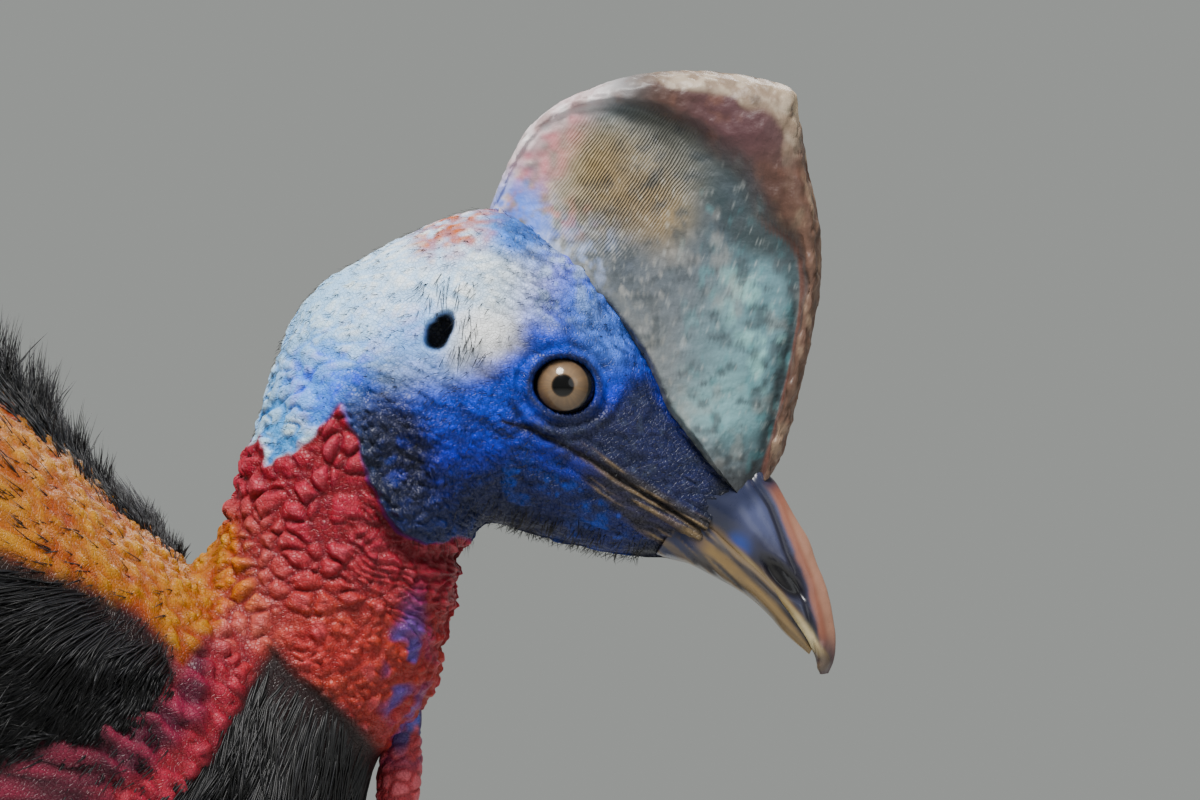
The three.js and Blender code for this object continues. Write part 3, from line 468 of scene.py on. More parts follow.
redOutline = [
    (-347.3, 60.5), (-183.8, 44.1), (-134.7, -18.0), (-118.4, -37.6), (-111.2, -41.5), (-105.3, -21.9),
    (-99.4, -17.3), (-94.8, -25.2), (-89.6, -22.9), (-79.8, -14.1), (-69.7, -6.2), (-68.0, -16.7),
    (-63.4, -30.4), (-58.2, -41.5), (-51.7, -48.1),
    (-43.2, -50.7), (-28.8, -49.4), (-26.8, -266.5), (-347.3, -266.5),
]
yellowOutline = [(-321.1, 27.8), (-183.8, 3.3), (-164.2, -14.7), (-144.5, -37.0), (-124.9, -54.9),
    (-113.8, -50.7), (-106.6, -44.1), (-109.9, -63.8), (-113.1, -79.5), (-121.6, -88.3), (-138.0, -71.9),
    (-154.3, -62.1), (-170.7, -57.2), (-183.8, -52.3), (-321.1, -44.1)]
magentaOutline = [(-106.6, -71.6), (-98.1, -82.1), (-107.9, -99.7), (-128.2, -118.7), (-147.8, -133.1),
    (-170.7, -145.5), (-321.1, -194.6), (-321.1, -135.7), (-183.8, -116.7), (-164.2, -110.2),
    (-141.3, -105.0), (-125.6, -99.1), (-123.0, -88.6), (-113.8, -80.1)]
frontOutline = [(-93.5, -83.4), (-85.7, -92.5), (-75.9, -99.7), (-65.4, -110.2), (-55.6, -123.3),
    (-49.1, -135.7), (-43.2, -155.3), (-43.2, -266.5), (-164.2, -266.5), (-138.0, -145.5),
    (-125.6, -135.7), (-113.5, -120.0), (-105.3, -105.0), (-99.4, -92.5)]
sideOutline = [(-380.0, -37.6), (-183.8, -50.7), (-170.7, -57.2), (-154.3, -63.1), (-138.0, -71.6),
    (-125.6, -83.4), (-123.0, -92.5), (-131.5, -104.3), (-151.1, -110.2), (-170.7, -114.8),
    (-183.8, -117.4), (-380.0, -135.7)]
paleOutline = [(-151.1, 93.2), (-151.1, -31.1), (-98.1, -27.8), (-85.7, -19.9), (-73.9, -7.5),
    (-66.1, 3.6), (-46.4, 10.1), (-30.7, 12.1), (-20.9, 17.3), (-14.4, 27.8), (-7.2, 40.2), (-0.7, 93.2)]
loresOutline = [(-0.7, -7.5), (15.7, -4.9), (25.5, 4.3), (41.9, -14.7), (64.7, -21.3), (64.7, -57.2),
    (45.1, -53.3), (25.5, -39.2), (-0.7, -21.9), (-18.6, -14.7)]
jawOutline = [(-30.1, -27.8), (-13.7, -21.3), (12.4, -30.4), (41.9, -50.7), (64.7, -57.2), (54.9, -73.6),
    (-0.7, -59.2), (-30.1, -50.7), (-43.2, -52.3), (-53.0, -47.4)]
rollsOutline = [(-62.1, -35.0), (-53.0, -52.3), (-28.8, -52.3), (-30.1, -83.4), (-43.2, -83.4),
    (-55.6, -73.6), (-69.3, -60.5), (-71.0, -47.4)]
throatLine = [(-28.4, -43.5), (-10.5, -46.8), (12.4, -53.3), (38.6, -59.2)]
lidOutline = {"at": (0.3, -0.5), "size": (10.5, 9.0), "slant": -14}
mouthLine = [(-19.3, -12.1), (-10.5, -14.7), (-0.7, -19.3), (9.2, -24.5), (19.0, -31.1), (28.8, -37.0),
    (38.6, -43.2), (45.1, -47.4), (52.3, -53.3)]

red = region(wx + 1.5 * noise(p, 4.5, 26), wz + 1.5 * noise(p, 4.5, 27), redOutline, 1.0)
yellow = region(wx, wz, yellowOutline, 3.5)
magenta = region(wx, wz, magentaOutline, 3)

# Warts of the bare neck, flat cobbles that get finer and longer down the neck
q = p.copy()
q[:, 2] *= 1.15
fineZone = np.clip(smooth(-z, 60, 84) * smooth(x, -104, -84) + yellow, 0, 1)
bent = (q + 2.6 * np.stack([noise(p, 10, 31), noise(p, 10, 32), noise(p, 10, 33)], 1) + 0.9
    * np.stack([noise(p, 3.5, 34), noise(p, 3.5, 35), noise(p, 3.5, 36)], 1))
near, second, own = cells(bent, skin["wart"], 3)
crack = smooth(second - near, 0.0, 0.5)
wart = crack ** 0.7 * np.clip(1.12 - 1.0 * near ** 2, 0, 1.1) * (0.6 + 0.6 * own)
near2, second2, _ = cells(bent * [1.1, 1, 0.9], 4.1, 9)
pebble = smooth(second2 - near2, 0.0, 0.55) * (1 - 0.7 * near2 ** 2)
rolls = region(wx, wz, rollsOutline, 4)
rollLine = np.sin((z + 0.30 * (x + 60) - 0.006 * (x + 55) ** 2 + 4.2 * rough + 1.2 * noise(p, 5, 38)) * 2
    * math.pi / 6.6)
low = smooth(-x, 108.6, 118.4)

frontPatch = region(x, z, frontOutline, 3)
sidePatch = region(x, z, sideOutline, 3)

wartHeight = wart * skin["wartHeight"] * (1 - 0.62 * fineZone) * (1 - 0.55 * rolls)
height = red * (wartHeight + (0.45 + 0.75 * fineZone) * pebble + rolls * 1.1
    * (1 - np.abs(rollLine)) ** 0.7 * (0.5 + 0.5 * smooth(noise(p, 8, 39), -0.4, 0.4)) + 0.22
    * layers(p, 2.2, 2, 37))
ridge = np.sin((x * 0.5 + z * 0.86 + 3 * rough) * 2 * math.pi / 9.5)
height += red * magenta * low * 1.4 * ridge

# Folds under the chin, and the blue skin that overhangs the red
fold, _ = lineDistance(x, z, [(-58.2, -44.1), (-51.7, -53.3), (-41.2, -57.2), (-28.1, -55.9)])
height += red * (-2.2 * swell(fold, 3.2))
for back, down in ((0, 0), (0.8, 11), (1.6, 22)):
    d, s = lineDistance(x - back, z + down, [(-55.6, -53.3), (-47.7, -59.2), (-37.3, -60.5),
        (-28.8, -57.2)])
    height += red * 1.2 * swell(d, 2.6) * smooth(s, 0, 0.2)
blue = 1 - red
edge, _ = lineDistance(wx, wz, redOutline[10:18])
height += blue * 2.6 * swell(edge, 9) * smooth(-x, -100, 20)
lobe = oval(x, z, (-52.3, -40.2), (13, 8), -20, 0.5)
height += blue * 2.2 * lobe

# Fine wrinkles of the face: creased cells, long along the jaw and round the eye
creaseA, creaseB, _ = cells(np.stack([x * 0.5 + z * 0.1, p[:, 1] * 0.9, z * 1.35 - x * 0.1], 1) + 0.8
    * noise(p, 4, 14)[:, None], 2.1, 13)
crease = smooth(creaseB - creaseA, 0, 0.45)
face = blue * smooth(z, -60, -50)
cheek = oval(x, z, (-39.9, -18.0), (34, 26), 0, 0.5)
pale = smooth(-wx, 10, 40) * region(wx, wz, paleOutline, 9)
height += face * skin["wrinkle"] * (crease - 1) * (0.55 + 1.3 * cheek) * (1 - 0.6 * pale)
height += face * 0.22 * (1
    - np.abs(noise(np.stack([x * 0.45 + z * 0.5, p[:, 1], z * 1.1 - x * 0.35], 1), 2.4, 42)))
height += face * 0.5 * layers(np.stack([x, p[:, 1], z], 1), 7, 3, 41)
bag = oval(wx, wz, (-54.9, -23.9), (16, 25), 12, 0.5)
height += blue * bag * (0.8 + 1.6 * pebble + 0.9 * noise(p, 4, 50))
nape = smooth(-x, 45, 75) * blue
folding = 1 - np.maximum(creases(p, 24, 0.28, 5.2, 43, 0.26), 0.8 * creases(p, 8, 0.35, 2.9, 45, 0.24))
napeLow = nape * smooth(-z, -34, 6) * (1 - smooth(x, -66, -50))
height += napeLow * 1.5 * (folding - 0.6) + nape * 0.3 * pebble * smooth(-z, -5, 20)
lines = np.maximum(creases(p, -28, 0.2, 3.2, 46), creases(p, 14, 0.2, 3.8, 47))
jawLines = creases(p, -14, 0.16, 2.4, 48, 0.25)
height -= face * 0.42 * lines * (1 - 0.5 * pale) + face * 0.35 * jawLines * smooth(-z, 5, 20)
crownLines = creases(p, 62, 0.14, 2.2, 49, 0.25)
height -= face * 0.3 * crownLines * smooth(z, 0, 15)

# Eye socket, lids and the rings of skin round them
a = math.radians(lidOutline["slant"])
lidX, lidZ = x - lidOutline["at"][0], z - lidOutline["at"][1]
lidX, lidZ = lidX * math.cos(a) + lidZ * math.sin(a), -lidX * math.sin(a) + lidZ * math.cos(a)
halfWidth, halfHeight = lidOutline["size"]
lid = (np.sqrt((lidX / halfWidth) ** 2 + (lidZ / halfHeight) ** 2) - 1) * 0.5 * (halfWidth + halfHeight)
sided = smooth(facing, 0.3, 0.6)
height += sided * (1.1 + 0.5 * noise(p, 2.5, 53)) * swell(lid - 1.3, 1.1)
height -= sided * 0.8 * swell(lid - 4.0, 1.3)
height += sided * 0.7 * swell(lid - 6.2, 1.4) * smooth(-lidZ, -6, 4)
height -= sided * 0.6 * swell(lid - 8.6, 1.4) * smooth(-lidZ, -4, 6)
brow = oval(x, z, (4.3, 13.1), (17, 5), -24, 0.6)
height += sided * 2.0 * brow
sink = sided * 7.0 * smooth(-lid, 0.1, 1.2)

# Ear
ear = {"at": (-39.9, 17.3), "size": (6.4, 3.9), "slant": 62}
earMask = oval(fineX, fineZ, ear["at"], ear["size"], ear["slant"], 0.22)
earRim = oval(x, z, ear["at"], (ear["size"][0] + 3, ear["size"][1] + 2.6), ear["slant"], 0.25) - earMask
height += sided * (0.9 * np.clip(earRim, 0, 1))
sink += sided * 8 * earMask

# Mouth: a groove between two lips, with long folds behind the gape
d, s = lineDistance(x, z, mouthLine)
height -= sided * blue * 1.3 * swell(d, 0.6)
over = np.sign(z - np.interp(x, [q[0] for q in mouthLine], [q[1] for q in mouthLine]))
off = d * over
wide = 2.5 + 8.5 * smooth(s, 0.1, 0.75)
striped = smooth(s, 0.2, 0.55) * smooth(off, -wide - 1.5, -wide + 1) * (1 - smooth(off, 2.6, 4.6))
flow = off + 1.1 * noise(np.stack([x * 0.12, p[:, 1] * 0.1, z * 0.12], 1), 3, 44)
stripe = (1.5 * noise(np.stack([flow / 0.85, s * 4.5, 0 * s], 1), 1, 51) + 0.5
    * noise(np.stack([flow / 0.6, s * 9, 0 * s], 1), 1, 52))
height += sided * blue * striped * 0.4 * stripe
above, below = (lineDistance(x, z - k, mouthLine)[0] for k in (2.6, -2.8))
height += sided * blue * (1.1 * swell(above, 1.5) + 1.3 * swell(below, 1.6)) * smooth(s, 0.04, 0.2)
for drop in (7.5, 12.5, 17):
    d2, s2 = lineDistance(x, z + drop, [(-20.3, -14.7), (-7.2, -18.0), (12.4, -27.8), (32.0, -39.2)])
    height += sided * face * 0.8 * swell(d2, 1.6) * smooth(s2, 0, 0.15) * (1 - smooth(s2, 0.75, 1))
throat = lineDistance(x, z, throatLine)[0]
height += face * 1.2 * swell(throat, 3)

covered = (stepGrid.ravel() > 15) * np.clip(frontPatch + sidePatch, 0, 1)
height = height * (1 - covered) - 0.8 * covered
height -= 1.1 * (1 - smooth(stepGrid.ravel(), 0.0, 1.5))
shaped = p + n * height[:, None]
shaped[:, 1] -= np.sign(p[:, 1]) * np.minimum(sink, np.abs(p[:, 1]) - 4)

# Skin colours
c = painted(
    plain("#2A38CC", len(p)),
    ("#1E2CAC", oval(wx, wz, (-30.1, -13.1), (42, 30), 0, 0.6)),
    ("#3F58DC", oval(wx, wz, (-30.1, 4.3), (32, 16), -8, 1.0) * 0.8),
    ("#5468EE", region(wx, wz, paleOutline, 11)),
    ("#BFDDF2", region(wx - 2, wz + 3, paleOutline, 7) * smooth(-wx, 4, 26)),
    ("#DCF0FC", region(wx - 3, wz + 5, paleOutline, 8) * smooth(-wx, 24, 50)),
    ("#7FA8E6", oval(wx, wz, (-47.1, 21.9), (15, 15), 0, 0.8) * 0.55),
    ("#F2FAFE", oval(wx, wz, (-54.6, 32.7), (46, 28), 12, 0.5)),
    ("#D6EBF7", smooth(-wx, 52, 84) * smooth(z, -38, -12)),
)
streak = smooth(folding, 0.15, 0.8)
c = painted(
    c,
    # Blue in the valleys of the nape folds: the skin's own blue, deepened there as painted shade
    ("#5E92DC", napeLow * (1 - streak) * 0.85),
    ("#2F6FA8", napeLow * smooth(-z, -14, 10) * (1 - streak) * 0.5),
    ("#6C8CE6", blue * oval(wx, wz, (-62.1, 10.8), (22, 12), 30, 0.9) * 0.4 * (1 - 0.6 * streak)),
    ("#3A54CC", blue * oval(wx, wz, (-69.3, 0.0), (17, 9), -35, 0.8) * (1 - 0.5 * streak)),
    ("#4862E4", oval(wx, wz, (-75.9, -4.9), (15, 10), -30, 0.6) * 0.7),
    ("#7090EC", oval(wx, wz, (-44.8, 10.8), (14, 12), 30, 0.7) * 0.6),
    ("#F2F7FA", oval(wx, wz, (-26.2, 16.0), (8.5, 7), 0, 0.7)),
    ("#5C80CE", oval(wx, wz, (-13.7, 52.3), (13, 11), -40, 0.5)),
    ("#B8663A", oval(wx, wz, (-35.0, 50.7), (12, 8), 25, 0.7) * (0.8 + 0.9 * noise(p, 2.6, 61))),
    ("#A9B9DC", oval(fineX, fineZ, (0.0, 32.7), (15, 13), -30, 0.5) * mottled(p, 4, 3, 62, -0.4, 0.5)),
    ("#6F8FD6", oval(wx, wz, (12.4, 19.6), (11, 17), 35, 0.6) * 0.7),
    ("#243A7C", oval(wx, wz, (-4.6, 10.8), (13, 8), 0, 0.7) * 0.5),
)
lores = region(wx, wz, loresOutline, 5)
c = painted(
    c,
    ("#1E2130", lores * 0.95),
    ("#555C6C", lores * mottled(p, 2.4, 3, 67, 0.2, 0.8) * 0.35),
    ("#3557B0", lores * mottled(p, 4, 3, 63, 0.1, 0.6) * smooth(z + 0.95 * (x - 20) - 14, -9, 3) * 0.9),
)
jaw = region(wx, wz, jawOutline, 6)
c = painted(
    c,
    # Dark blue-black skin of the lower jaw, made darker as painted shade of the head's underside; the
    # mottled blue over it is the skin's own colour
    ("#0F1A38", jaw * 0.9),
    ("#2444A0", jaw * mottled(p, 5, 3, 64, 0.1, 0.7) * 0.75),
    # Painted shadow at the throat, under the jaw
    ("#0A0F1E", oval(wx, wz, (-16.4, -44.8), (17, 6), -14, 0.8) * 0.8),
    ("#20388C", blue * lobe * 0.8),
    # Painted shadow line where the blue skin overhangs the red
    ("#162047", blue * swell(edge, 4.5) * smooth(x, -75, -60) * 0.6),
)
# Painted shade in the wrinkle creases: the face skin is darkened along the crease lines, less on the pale
# skin
c = c * (1 - (face * (1 - crease) * (0.34 - 0.22 * pale)))[:, None]
c = painted(
    c,
    ("#14161F", blue * region(x, z, [(14.4, -67.0), (22.2, -52.6), (34.7, -50.0), (45.1, -41.5),
        (58.2, -14.7), (84.4, -14.7), (84.4, -89.9), (14.4, -89.9)], 3)),
    # Painted shade in the wrinkle grooves: dark lines on the blue skin and blue lines on the pale skin
    ("#0E1530", face * (0.7 * lines + 0.5 * jawLines) * (1 - 0.75 * pale) * 0.65),
    ("#7FB2E4", face * pale * np.maximum(lines, crownLines) * 0.5),
)
c = vivid(c, 1.5)
c = painted(
    c,
    ("#A8562A", oval(wx, wz, (-34.7, 52.0), (13, 7.5), 25, 0.8) * smooth(noise(p, 2.6, 61), -0.6, 0.4)
        * 0.75),
    ("#FFFFFF", oval(wx, wz, (-26.2, 16.0), (10, 8), 0, 0.9) * 0.75),
    # Dark skin of the bag, lighter in the middle of each bump and lighter blue on the wart tops: painted
    # highlight on the bumps
    ("#101428", blue * bag * (1 - 0.35 * smooth(crack, 0.4, 1.0)) * 0.95),
    ("#1C2A66", blue * bag * smooth(wart, 0.7, 1.1) * 0.35),
    # Painted shade along the lower edge of the jaw, above the red skin
    ("#0C1434", blue * oval(wx, wz, (-36.6, -39.2), (22, 9), -8, 0.9) * 0.55),
)
bristleDots = cells(p, 3.4, 71)[0]
c = painted(c, ("#27324F", blue * (1 - smooth(bristleDots, 0.05, 0.13)) * 0.55 * smooth(-x, -20, 10)))

r = painted(
    plain("#8E2034", len(p)),
    ("#8C2A24", smooth(-z, 62, 84) * smooth(x, -105, -80)),
    ("#9A3A26", oval(wx, wz, (-75.9, -83.4), (24, 22), 0, 0.8) * 0.7),
    # Painted highlight: the wart tops lighter
    ("#BC5462", smooth(wart, 0.6, 1.1) * 0.36),
    ("#9A1F30", smooth(noise(p, 9, 68), 0.1, 0.8) * 0.5),
    ("#B56A5A", smooth(-x, 84, 102) * smooth(-z, 30, 52) * (1 - smooth(-z, 80, 90)) * 0.5),
    ("#A86600", np.clip(smooth(-x - 0.25 * (z + 60), 96, 108) * smooth(-z, 38, 56)
        * (1 - smooth(-z, 64, 78)), 0, 1)),
    ("#8C6600", yellow),
    ("#744200", yellow * mottled(p, 11, 3, 65, 0.0, 0.7) * 0.8),
    # Painted highlight: the wart tops lighter in the yellow band
    ("#AC8A00", yellow * smooth(wart, 0.6, 1.1) * 0.35),
    ("#3E0A20", magenta * low),
    ("#24060F", magenta * smooth(-x, 125, 170) * 0.7),
    # Painted highlight on the ridges of the magenta strip
    ("#8A2440", magenta * low * smooth(ridge + 0.4 * rough, 0.1, 1.0) * 0.55),
)
# Painted shade: darker cracks between the warts and pebbles (less in the magenta strip), darker valleys
# between the rolls and a darker fold under the chin
shaded = 1 - 0.9 * magenta * low
r = painted(
    r,
    ("#5A0C1A", (1 - smooth(crack, 0.0, 0.5)) * (0.85 - 0.5 * fineZone) * shaded),
    ("#7A1A1E", (1 - smooth(pebble, 0.0, 0.4)) * 0.45 * (1 - 0.5 * yellow) * shaded),
    ("#5E0E18", rolls * smooth(np.abs(rollLine), 0.7, 1) * 0.5),
    ("#5A1018", swell(fold, 3.5) * 0.85),
)
chin = oval(wx, wz, (-51.3, -92.5), (6, 22), -8, 0.5)
r = painted(r, ("#3E3A86", chin * smooth(noise(p, 6, 66), -0.1, 0.4) * 0.85))
r = vivid(r, 1.12 + 0.35 * yellow[:, None])
c = c + (r - c) * red[:, None]

crest = smooth(p[:, 2] - (797 + (218 - p[:, 0]) * 0.92), -3, 3) * (x < -122) * (stepGrid.ravel() > 15.6)
body = smooth(stepGrid.ravel(), 18.4, 19.4) * smooth(-x, 199.4, 227.4)
under = smooth(-z, 178, 192)
feathered = (np.clip(np.maximum.reduce([frontPatch, sidePatch, body, under, crest * 0.9]), 0, 1)
    * (stepGrid.ravel() > 13))
c = painted(c, ("#070608", feathered * 0.97))
inner = np.clip(smooth(-lid, -0.4, 0.8) * sided, 0, 1)
c = painted(
    c,
    ("#0C0D16", inner),
    ("#141B36", sided * swell(lid - 0.9, 1.0) * 0.8),
    # Painted shade: the ear opening filled with near black
    ("#0D0C12", sided * earMask),
    ("#2E2A2A", sided * blue * striped * 0.8),
    ("#7A6648", sided * blue * striped * smooth(stripe, 0.0, 0.7)
        * (0.4 + 0.4 * smooth(noise(p, 6, 69), -0.3, 0.5))),
    # Painted shade in the mouth groove
    ("#15131A", sided * blue * swell(d, 0.8) * 0.95),
)

skinPiece = gridPiece("skin", shaped.reshape(grid.shape), faceSkin, c)
standIn(skinPiece, "head", "head", "neck_upper", "neck_base", "torso", "tail")
print("skin done")


# Casque: a tall thin plate with hollow sides and a thick rolled rim.
# Each rib is [edge x, edge z, root x, root z, rim width]
casqueRibs = [
    [-24.2, 57.5, -21, 46, 3], [-20.3, 67.0, -16, 42, 4], [-11.4, 84.0, -11, 38, 5],
    [4.3, 95.2, -4, 34, 6],
    [25.5, 101.7, 4, 30, 11], [46.0, 102.7, 12, 24, 20], [62.7, 100.6, 18, 16, 28],
    [75.0, 96.2, 23, 8, 33],
    [77.4, 87.0, 27, 1, 31], [79.8, 73.6, 30, -5, 24], [83.4, 56.0, 33, -11, 13],
    [84.6, 38.0, 38, -17, 10],
    [81.6, 17.0, 43, -22, 9], [77.0, -3.0, 48, -28, 8], [72.3, -20.6, 53, -33, 7],
    [68.2, -29.4, 58, -38, 5],
]
casque = {"plate": 6.0, "root": 15.0, "rim": 10.5, "along": 250, "around": 170}


def fromRim(share):
    return (fromEdge - rimWidth * share).ravel()


t = np.linspace(0, len(casqueRibs) - 1, casque["along"])
ex, ez, rx, rz, rim = rowAt(casqueRibs, t).T
placeGrid, ringGrid = np.meshgrid(t, roundTurns(casque["around"]), indexing="ij")
up = ((1 + np.cos(ringGrid)) / 2) ** 0.8
length = np.hypot(ex - rx, ez - rz)[:, None]
fromEdge = (1 - up) * length
rimWidth = rim[:, None]
edgeShare = (fromEdge / rimWidth).ravel()
lip = smooth(-fromEdge, -rimWidth * 1.12, -rimWidth * 0.72)
roundEdge = np.sqrt(np.clip(1 - (1 - np.clip(fromEdge / (rimWidth * 0.55), 0, 1)) ** 2, 0, 1))
upperHalf = smooth(placeGrid, 2, 5) * (1 - 0.35 * smooth(placeGrid, 8.5, 11))
rimThick = casque["plate"] + (casque["rim"] - casque["plate"]) * (0.25 + 0.75 * upperHalf)
thick = (casque["plate"] + casque["root"] * (1 - up) ** 2.4) * (1 - lip) + rimThick * lip
thick = thick * roundEdge
hollow = (np.exp(-((fromEdge - rimWidth * 1.25) / (rimWidth * 0.5 + 2)) ** 2) * smooth(placeGrid, 3, 5)
    * (1 - lip))
thick -= 2.4 * hollow
ends = np.clip(3.2 * (placeGrid + 0.35) / 15 + 0.35, 0, 1) * np.clip(3.2 * (15 - placeGrid + 0.35) / 15
    + 0.35, 0, 1)
around = np.minimum(1, np.abs(np.sin(ringGrid)) * 3.0)
y = np.sign(np.sin(ringGrid)) * thick * ends * around
p = np.stack([eyeX + rx[:, None] + (ex - rx)[:, None] * up, y, eyeZ + rz[:, None] + (ez - rz)[:, None]
    * up], -1)
flat, n, x, z = unrolled(p)
wx, wz = x + 2.5 * noise(flat, 11, 81), z + 2.5 * noise(flat, 11, 82)
rimMask = lip.ravel()
placeOnEdge = placeGrid.ravel()
topEdge = smooth(-fromEdge.ravel(), -6.5, -3.5)
height = 0.5 * layers(flat, 16, 3, 83) + 0.22 * layers(flat * [1, 1, 2.2], 5, 3, 84)
striae = noise(np.stack([(x * 0.62 + z) * 0.16 + 0.3 * noise(flat, 12, 99), flat[:, 1] * 0.2,
    (x - 0.62 * z) * 1.0 + 1.2 * noise(flat, 14, 100)], 1), 1.3, 85)
rearSkin = oval(wx, wz, (-0.7, 70.3), (34, 26), 30, 0.5)
height += 0.15 * striae * (1 - rimMask) * (0.35 + 0.9 * rearSkin)
pits = cells(flat, 6.5, 86)
height += rimMask * (0.7 * layers(flat, 7, 3, 87) - 0.5 * (1 - smooth(pits[1] - pits[0], 0, 0.2))
    * topEdge)
keelMask = rimMask * smooth(placeOnEdge, 8.5, 10)
height += keelMask * 0.8 * layers(flat * [1, 1, 0.7], 4.5, 3, 88)
flat = flat + n * (height * np.minimum(1, around.ravel() + 0.3))[:, None]

c = painted(
    plain("#5C656A", len(flat)),
    ("#5C7C84", region(wx, wz, [(45.1, -14.7), (41.9, 14.7), (51.7, 44.1), (64.7, 54.0), (77.8, 44.1),
        (74.6, 8.2), (66.4, -18.0), (56.6, -21.3)], 9) * 0.9),
    # Painted sheen: light turquoise streaks low on the front of the side face
    ("#8FBDBB", oval(wx, wz, (63.8, 16.4), (7, 34), 20, 0.7) * mottled(flat, 5, 3, 89, -0.1, 0.5) * 0.8),
    ("#86ACB0", oval(wx, wz, (51.7, -4.9), (12, 10), 30, 0.8) * 0.5),
    # Painted shade in the hollow under the rim's lip: a dark patch and a dark band just below the lip
    ("#36424C", oval(wx, wz, (43.5, 62.1), (20, 26), 30, 0.8) * 0.95),
    ("#2E3A3E", smooth(-np.abs(fromRim(1.35)), -7, -1) * smooth(placeOnEdge, 3.6, 5) * (1 - rimMask)
        * 0.85),
    ("#5C6268", oval(wx, wz, (35.3, 27.8), (14, 24), 30, 0.8) * 0.6),
    ("#8D8A86", mottled(flat, 7, 3, 90, 0.2, 0.9) * 0.4),
    ("#4E7A80", mottled(flat * [1, 1, 0.8], 3.2, 2, 91, 0.25, 0.8) * smooth(x, 30, 50) * 0.5),
)
rear = smooth(-wx - 0.35 * wz, -48, -20)
c = painted(
    c,
    ("#6A6C6C", rear * 0.8),
    ("#A8A69C", rear * mottled(flat, 2.6, 3, 105, 0.2, 0.8) * 0.5),
    ("#D8D4D6", smooth(-fromEdge.ravel(), -13, -5) * smooth(-x, -30, -2)),
    ("#B0707C", oval(wx, wz, (-4.6, 76.8), (7, 20), -35, 0.8) * (0.55 + 0.5 * noise(flat, 3, 92)) * 1.2),
    ("#B06A72", oval(wx, wz, (3.3, 55.6), (8, 6), 0, 0.8) * smooth(noise(flat, 2.5, 97), -0.2, 0.4)
        * 0.7),
    ("#96825A", oval(wx, wz, (19.6, 64.4), (21, 15), -40, 0.7) * 0.9),
    # Painted shade inside the top of the rim
    ("#30383A", np.exp(-(lineDistance(wx, wz,
        [(28.1, 89.9), (45.1, 80.8), (58.9, 65.4), (66.1, 50.0)])[0] / 7.5) ** 2) * (1 - rimMask) * 0.8),
    ("#8A6A34", oval(wx, wz, (24.2, 61.1), (15, 9), -50, 0.7) * 0.7),
    ("#6C6A62", oval(wx, wz, (30.4, 73.6), (14, 22), -35, 0.8) * 0.6),
    ("#5576CE", oval(wx, wz, (-15.4, 53.3), (12, 14), 40, 0.7) * mottled(flat, 4, 3, 94, -0.7, 0.3)),
    ("#454C54", oval(wx, wz, (16.4, 36.0), (18, 17), 30, 0.8) * 0.8),
    ("#B4B2AC", oval(wx, wz, (15.7, 37.6), (22, 19), 30, 0.8) * mottled(flat, 2.2, 3, 112, 0.35, 0.8)
        * 0.35),
    ("#8494B8", oval(wx, wz, (0.0, 38.3), (17, 11), 20, 0.8) * mottled(flat, 3, 3, 106, -0.4, 0.5) * 0.8),
)
plate = (1 - rimMask) * smooth(placeOnEdge, 2.5, 5)
c = painted(
    c,
    ("#343A3E", plate * mottled(flat * [1, 1, 1.3], 4, 3, 113, 0.0, 0.8) * 0.7),
    ("#C2C6C4", plate * mottled(flat, 1.8, 2, 114, 0.6, 0.95) * 0.2),
    ("#46332E", rimMask * smooth(placeOnEdge, 3.2, 4.6)),
    ("#4A3236", rimMask * oval(wx, wz, (56.6, 86.7), (16, 12), -20, 0.8) * 0.9),
    ("#3C2620", rimMask * oval(wx, wz, (75.2, 55.6), (8, 16), 0, 0.8) * 0.8),
    ("#6E4E42", rimMask * mottled(flat, 6, 3, 98, 0.1, 0.8) * 0.45),
)
crown = (1 - smooth(edgeShare + 0.12 * noise(flat, 6, 107), 0.28, 0.42)) * rimMask
crown *= smooth(placeOnEdge, 3.6, 5) * (1 - smooth(placeOnEdge, 7.8, 9.0))
c = painted(
    c,
    ("#7C6C5E", crown),
    ("#AC9F8F", crown * mottled(flat, 5, 3, 108, -0.1, 0.6) * 0.7),
    ("#4C4038", crown * smooth(-layers(flat, 4, 3, 109), 0.2, 0.8) * 0.8),
    ("#A3927E", topEdge * mottled(flat, 6, 3, 95, -0.1, 0.5) * smooth(x, 60, 76) * 0.8),
    ("#5C463C", keelMask * 0.9),
    ("#927E6C", keelMask * mottled(flat * [1, 1, 0.6], 3.5, 3, 96, 0.1, 0.8) * 0.6),
    ("#3A2A22", keelMask * smooth(-layers(flat * [1, 1, 0.6], 3.5, 3, 96), 0.1, 0.7) * 0.7),
    ("#5C3A30", smooth(-np.abs(fromRim(1.05)), -1.6, -0.3) * smooth(placeOnEdge, 8, 10) * 0.8),
    ("#2C2A2C", smooth(-z, 22, 34) * (1 - rimMask) * 0.8),
)
c = vivid(c, 1.15)
rib = (1 - rimMask) * oval(wx, wz, (19.6, 67.0), (23, 19), 40, 0.5) * np.clip(0.75 + 0.5
    * layers(flat, 9, 3, 110), 0.1, 0.95)
casquePiece = gridPiece("casque_horn", flat.reshape(p.shape), hornCasque, c, {"rib": rib})
standIn(casquePiece, "casque", "casque")
print("casque done")


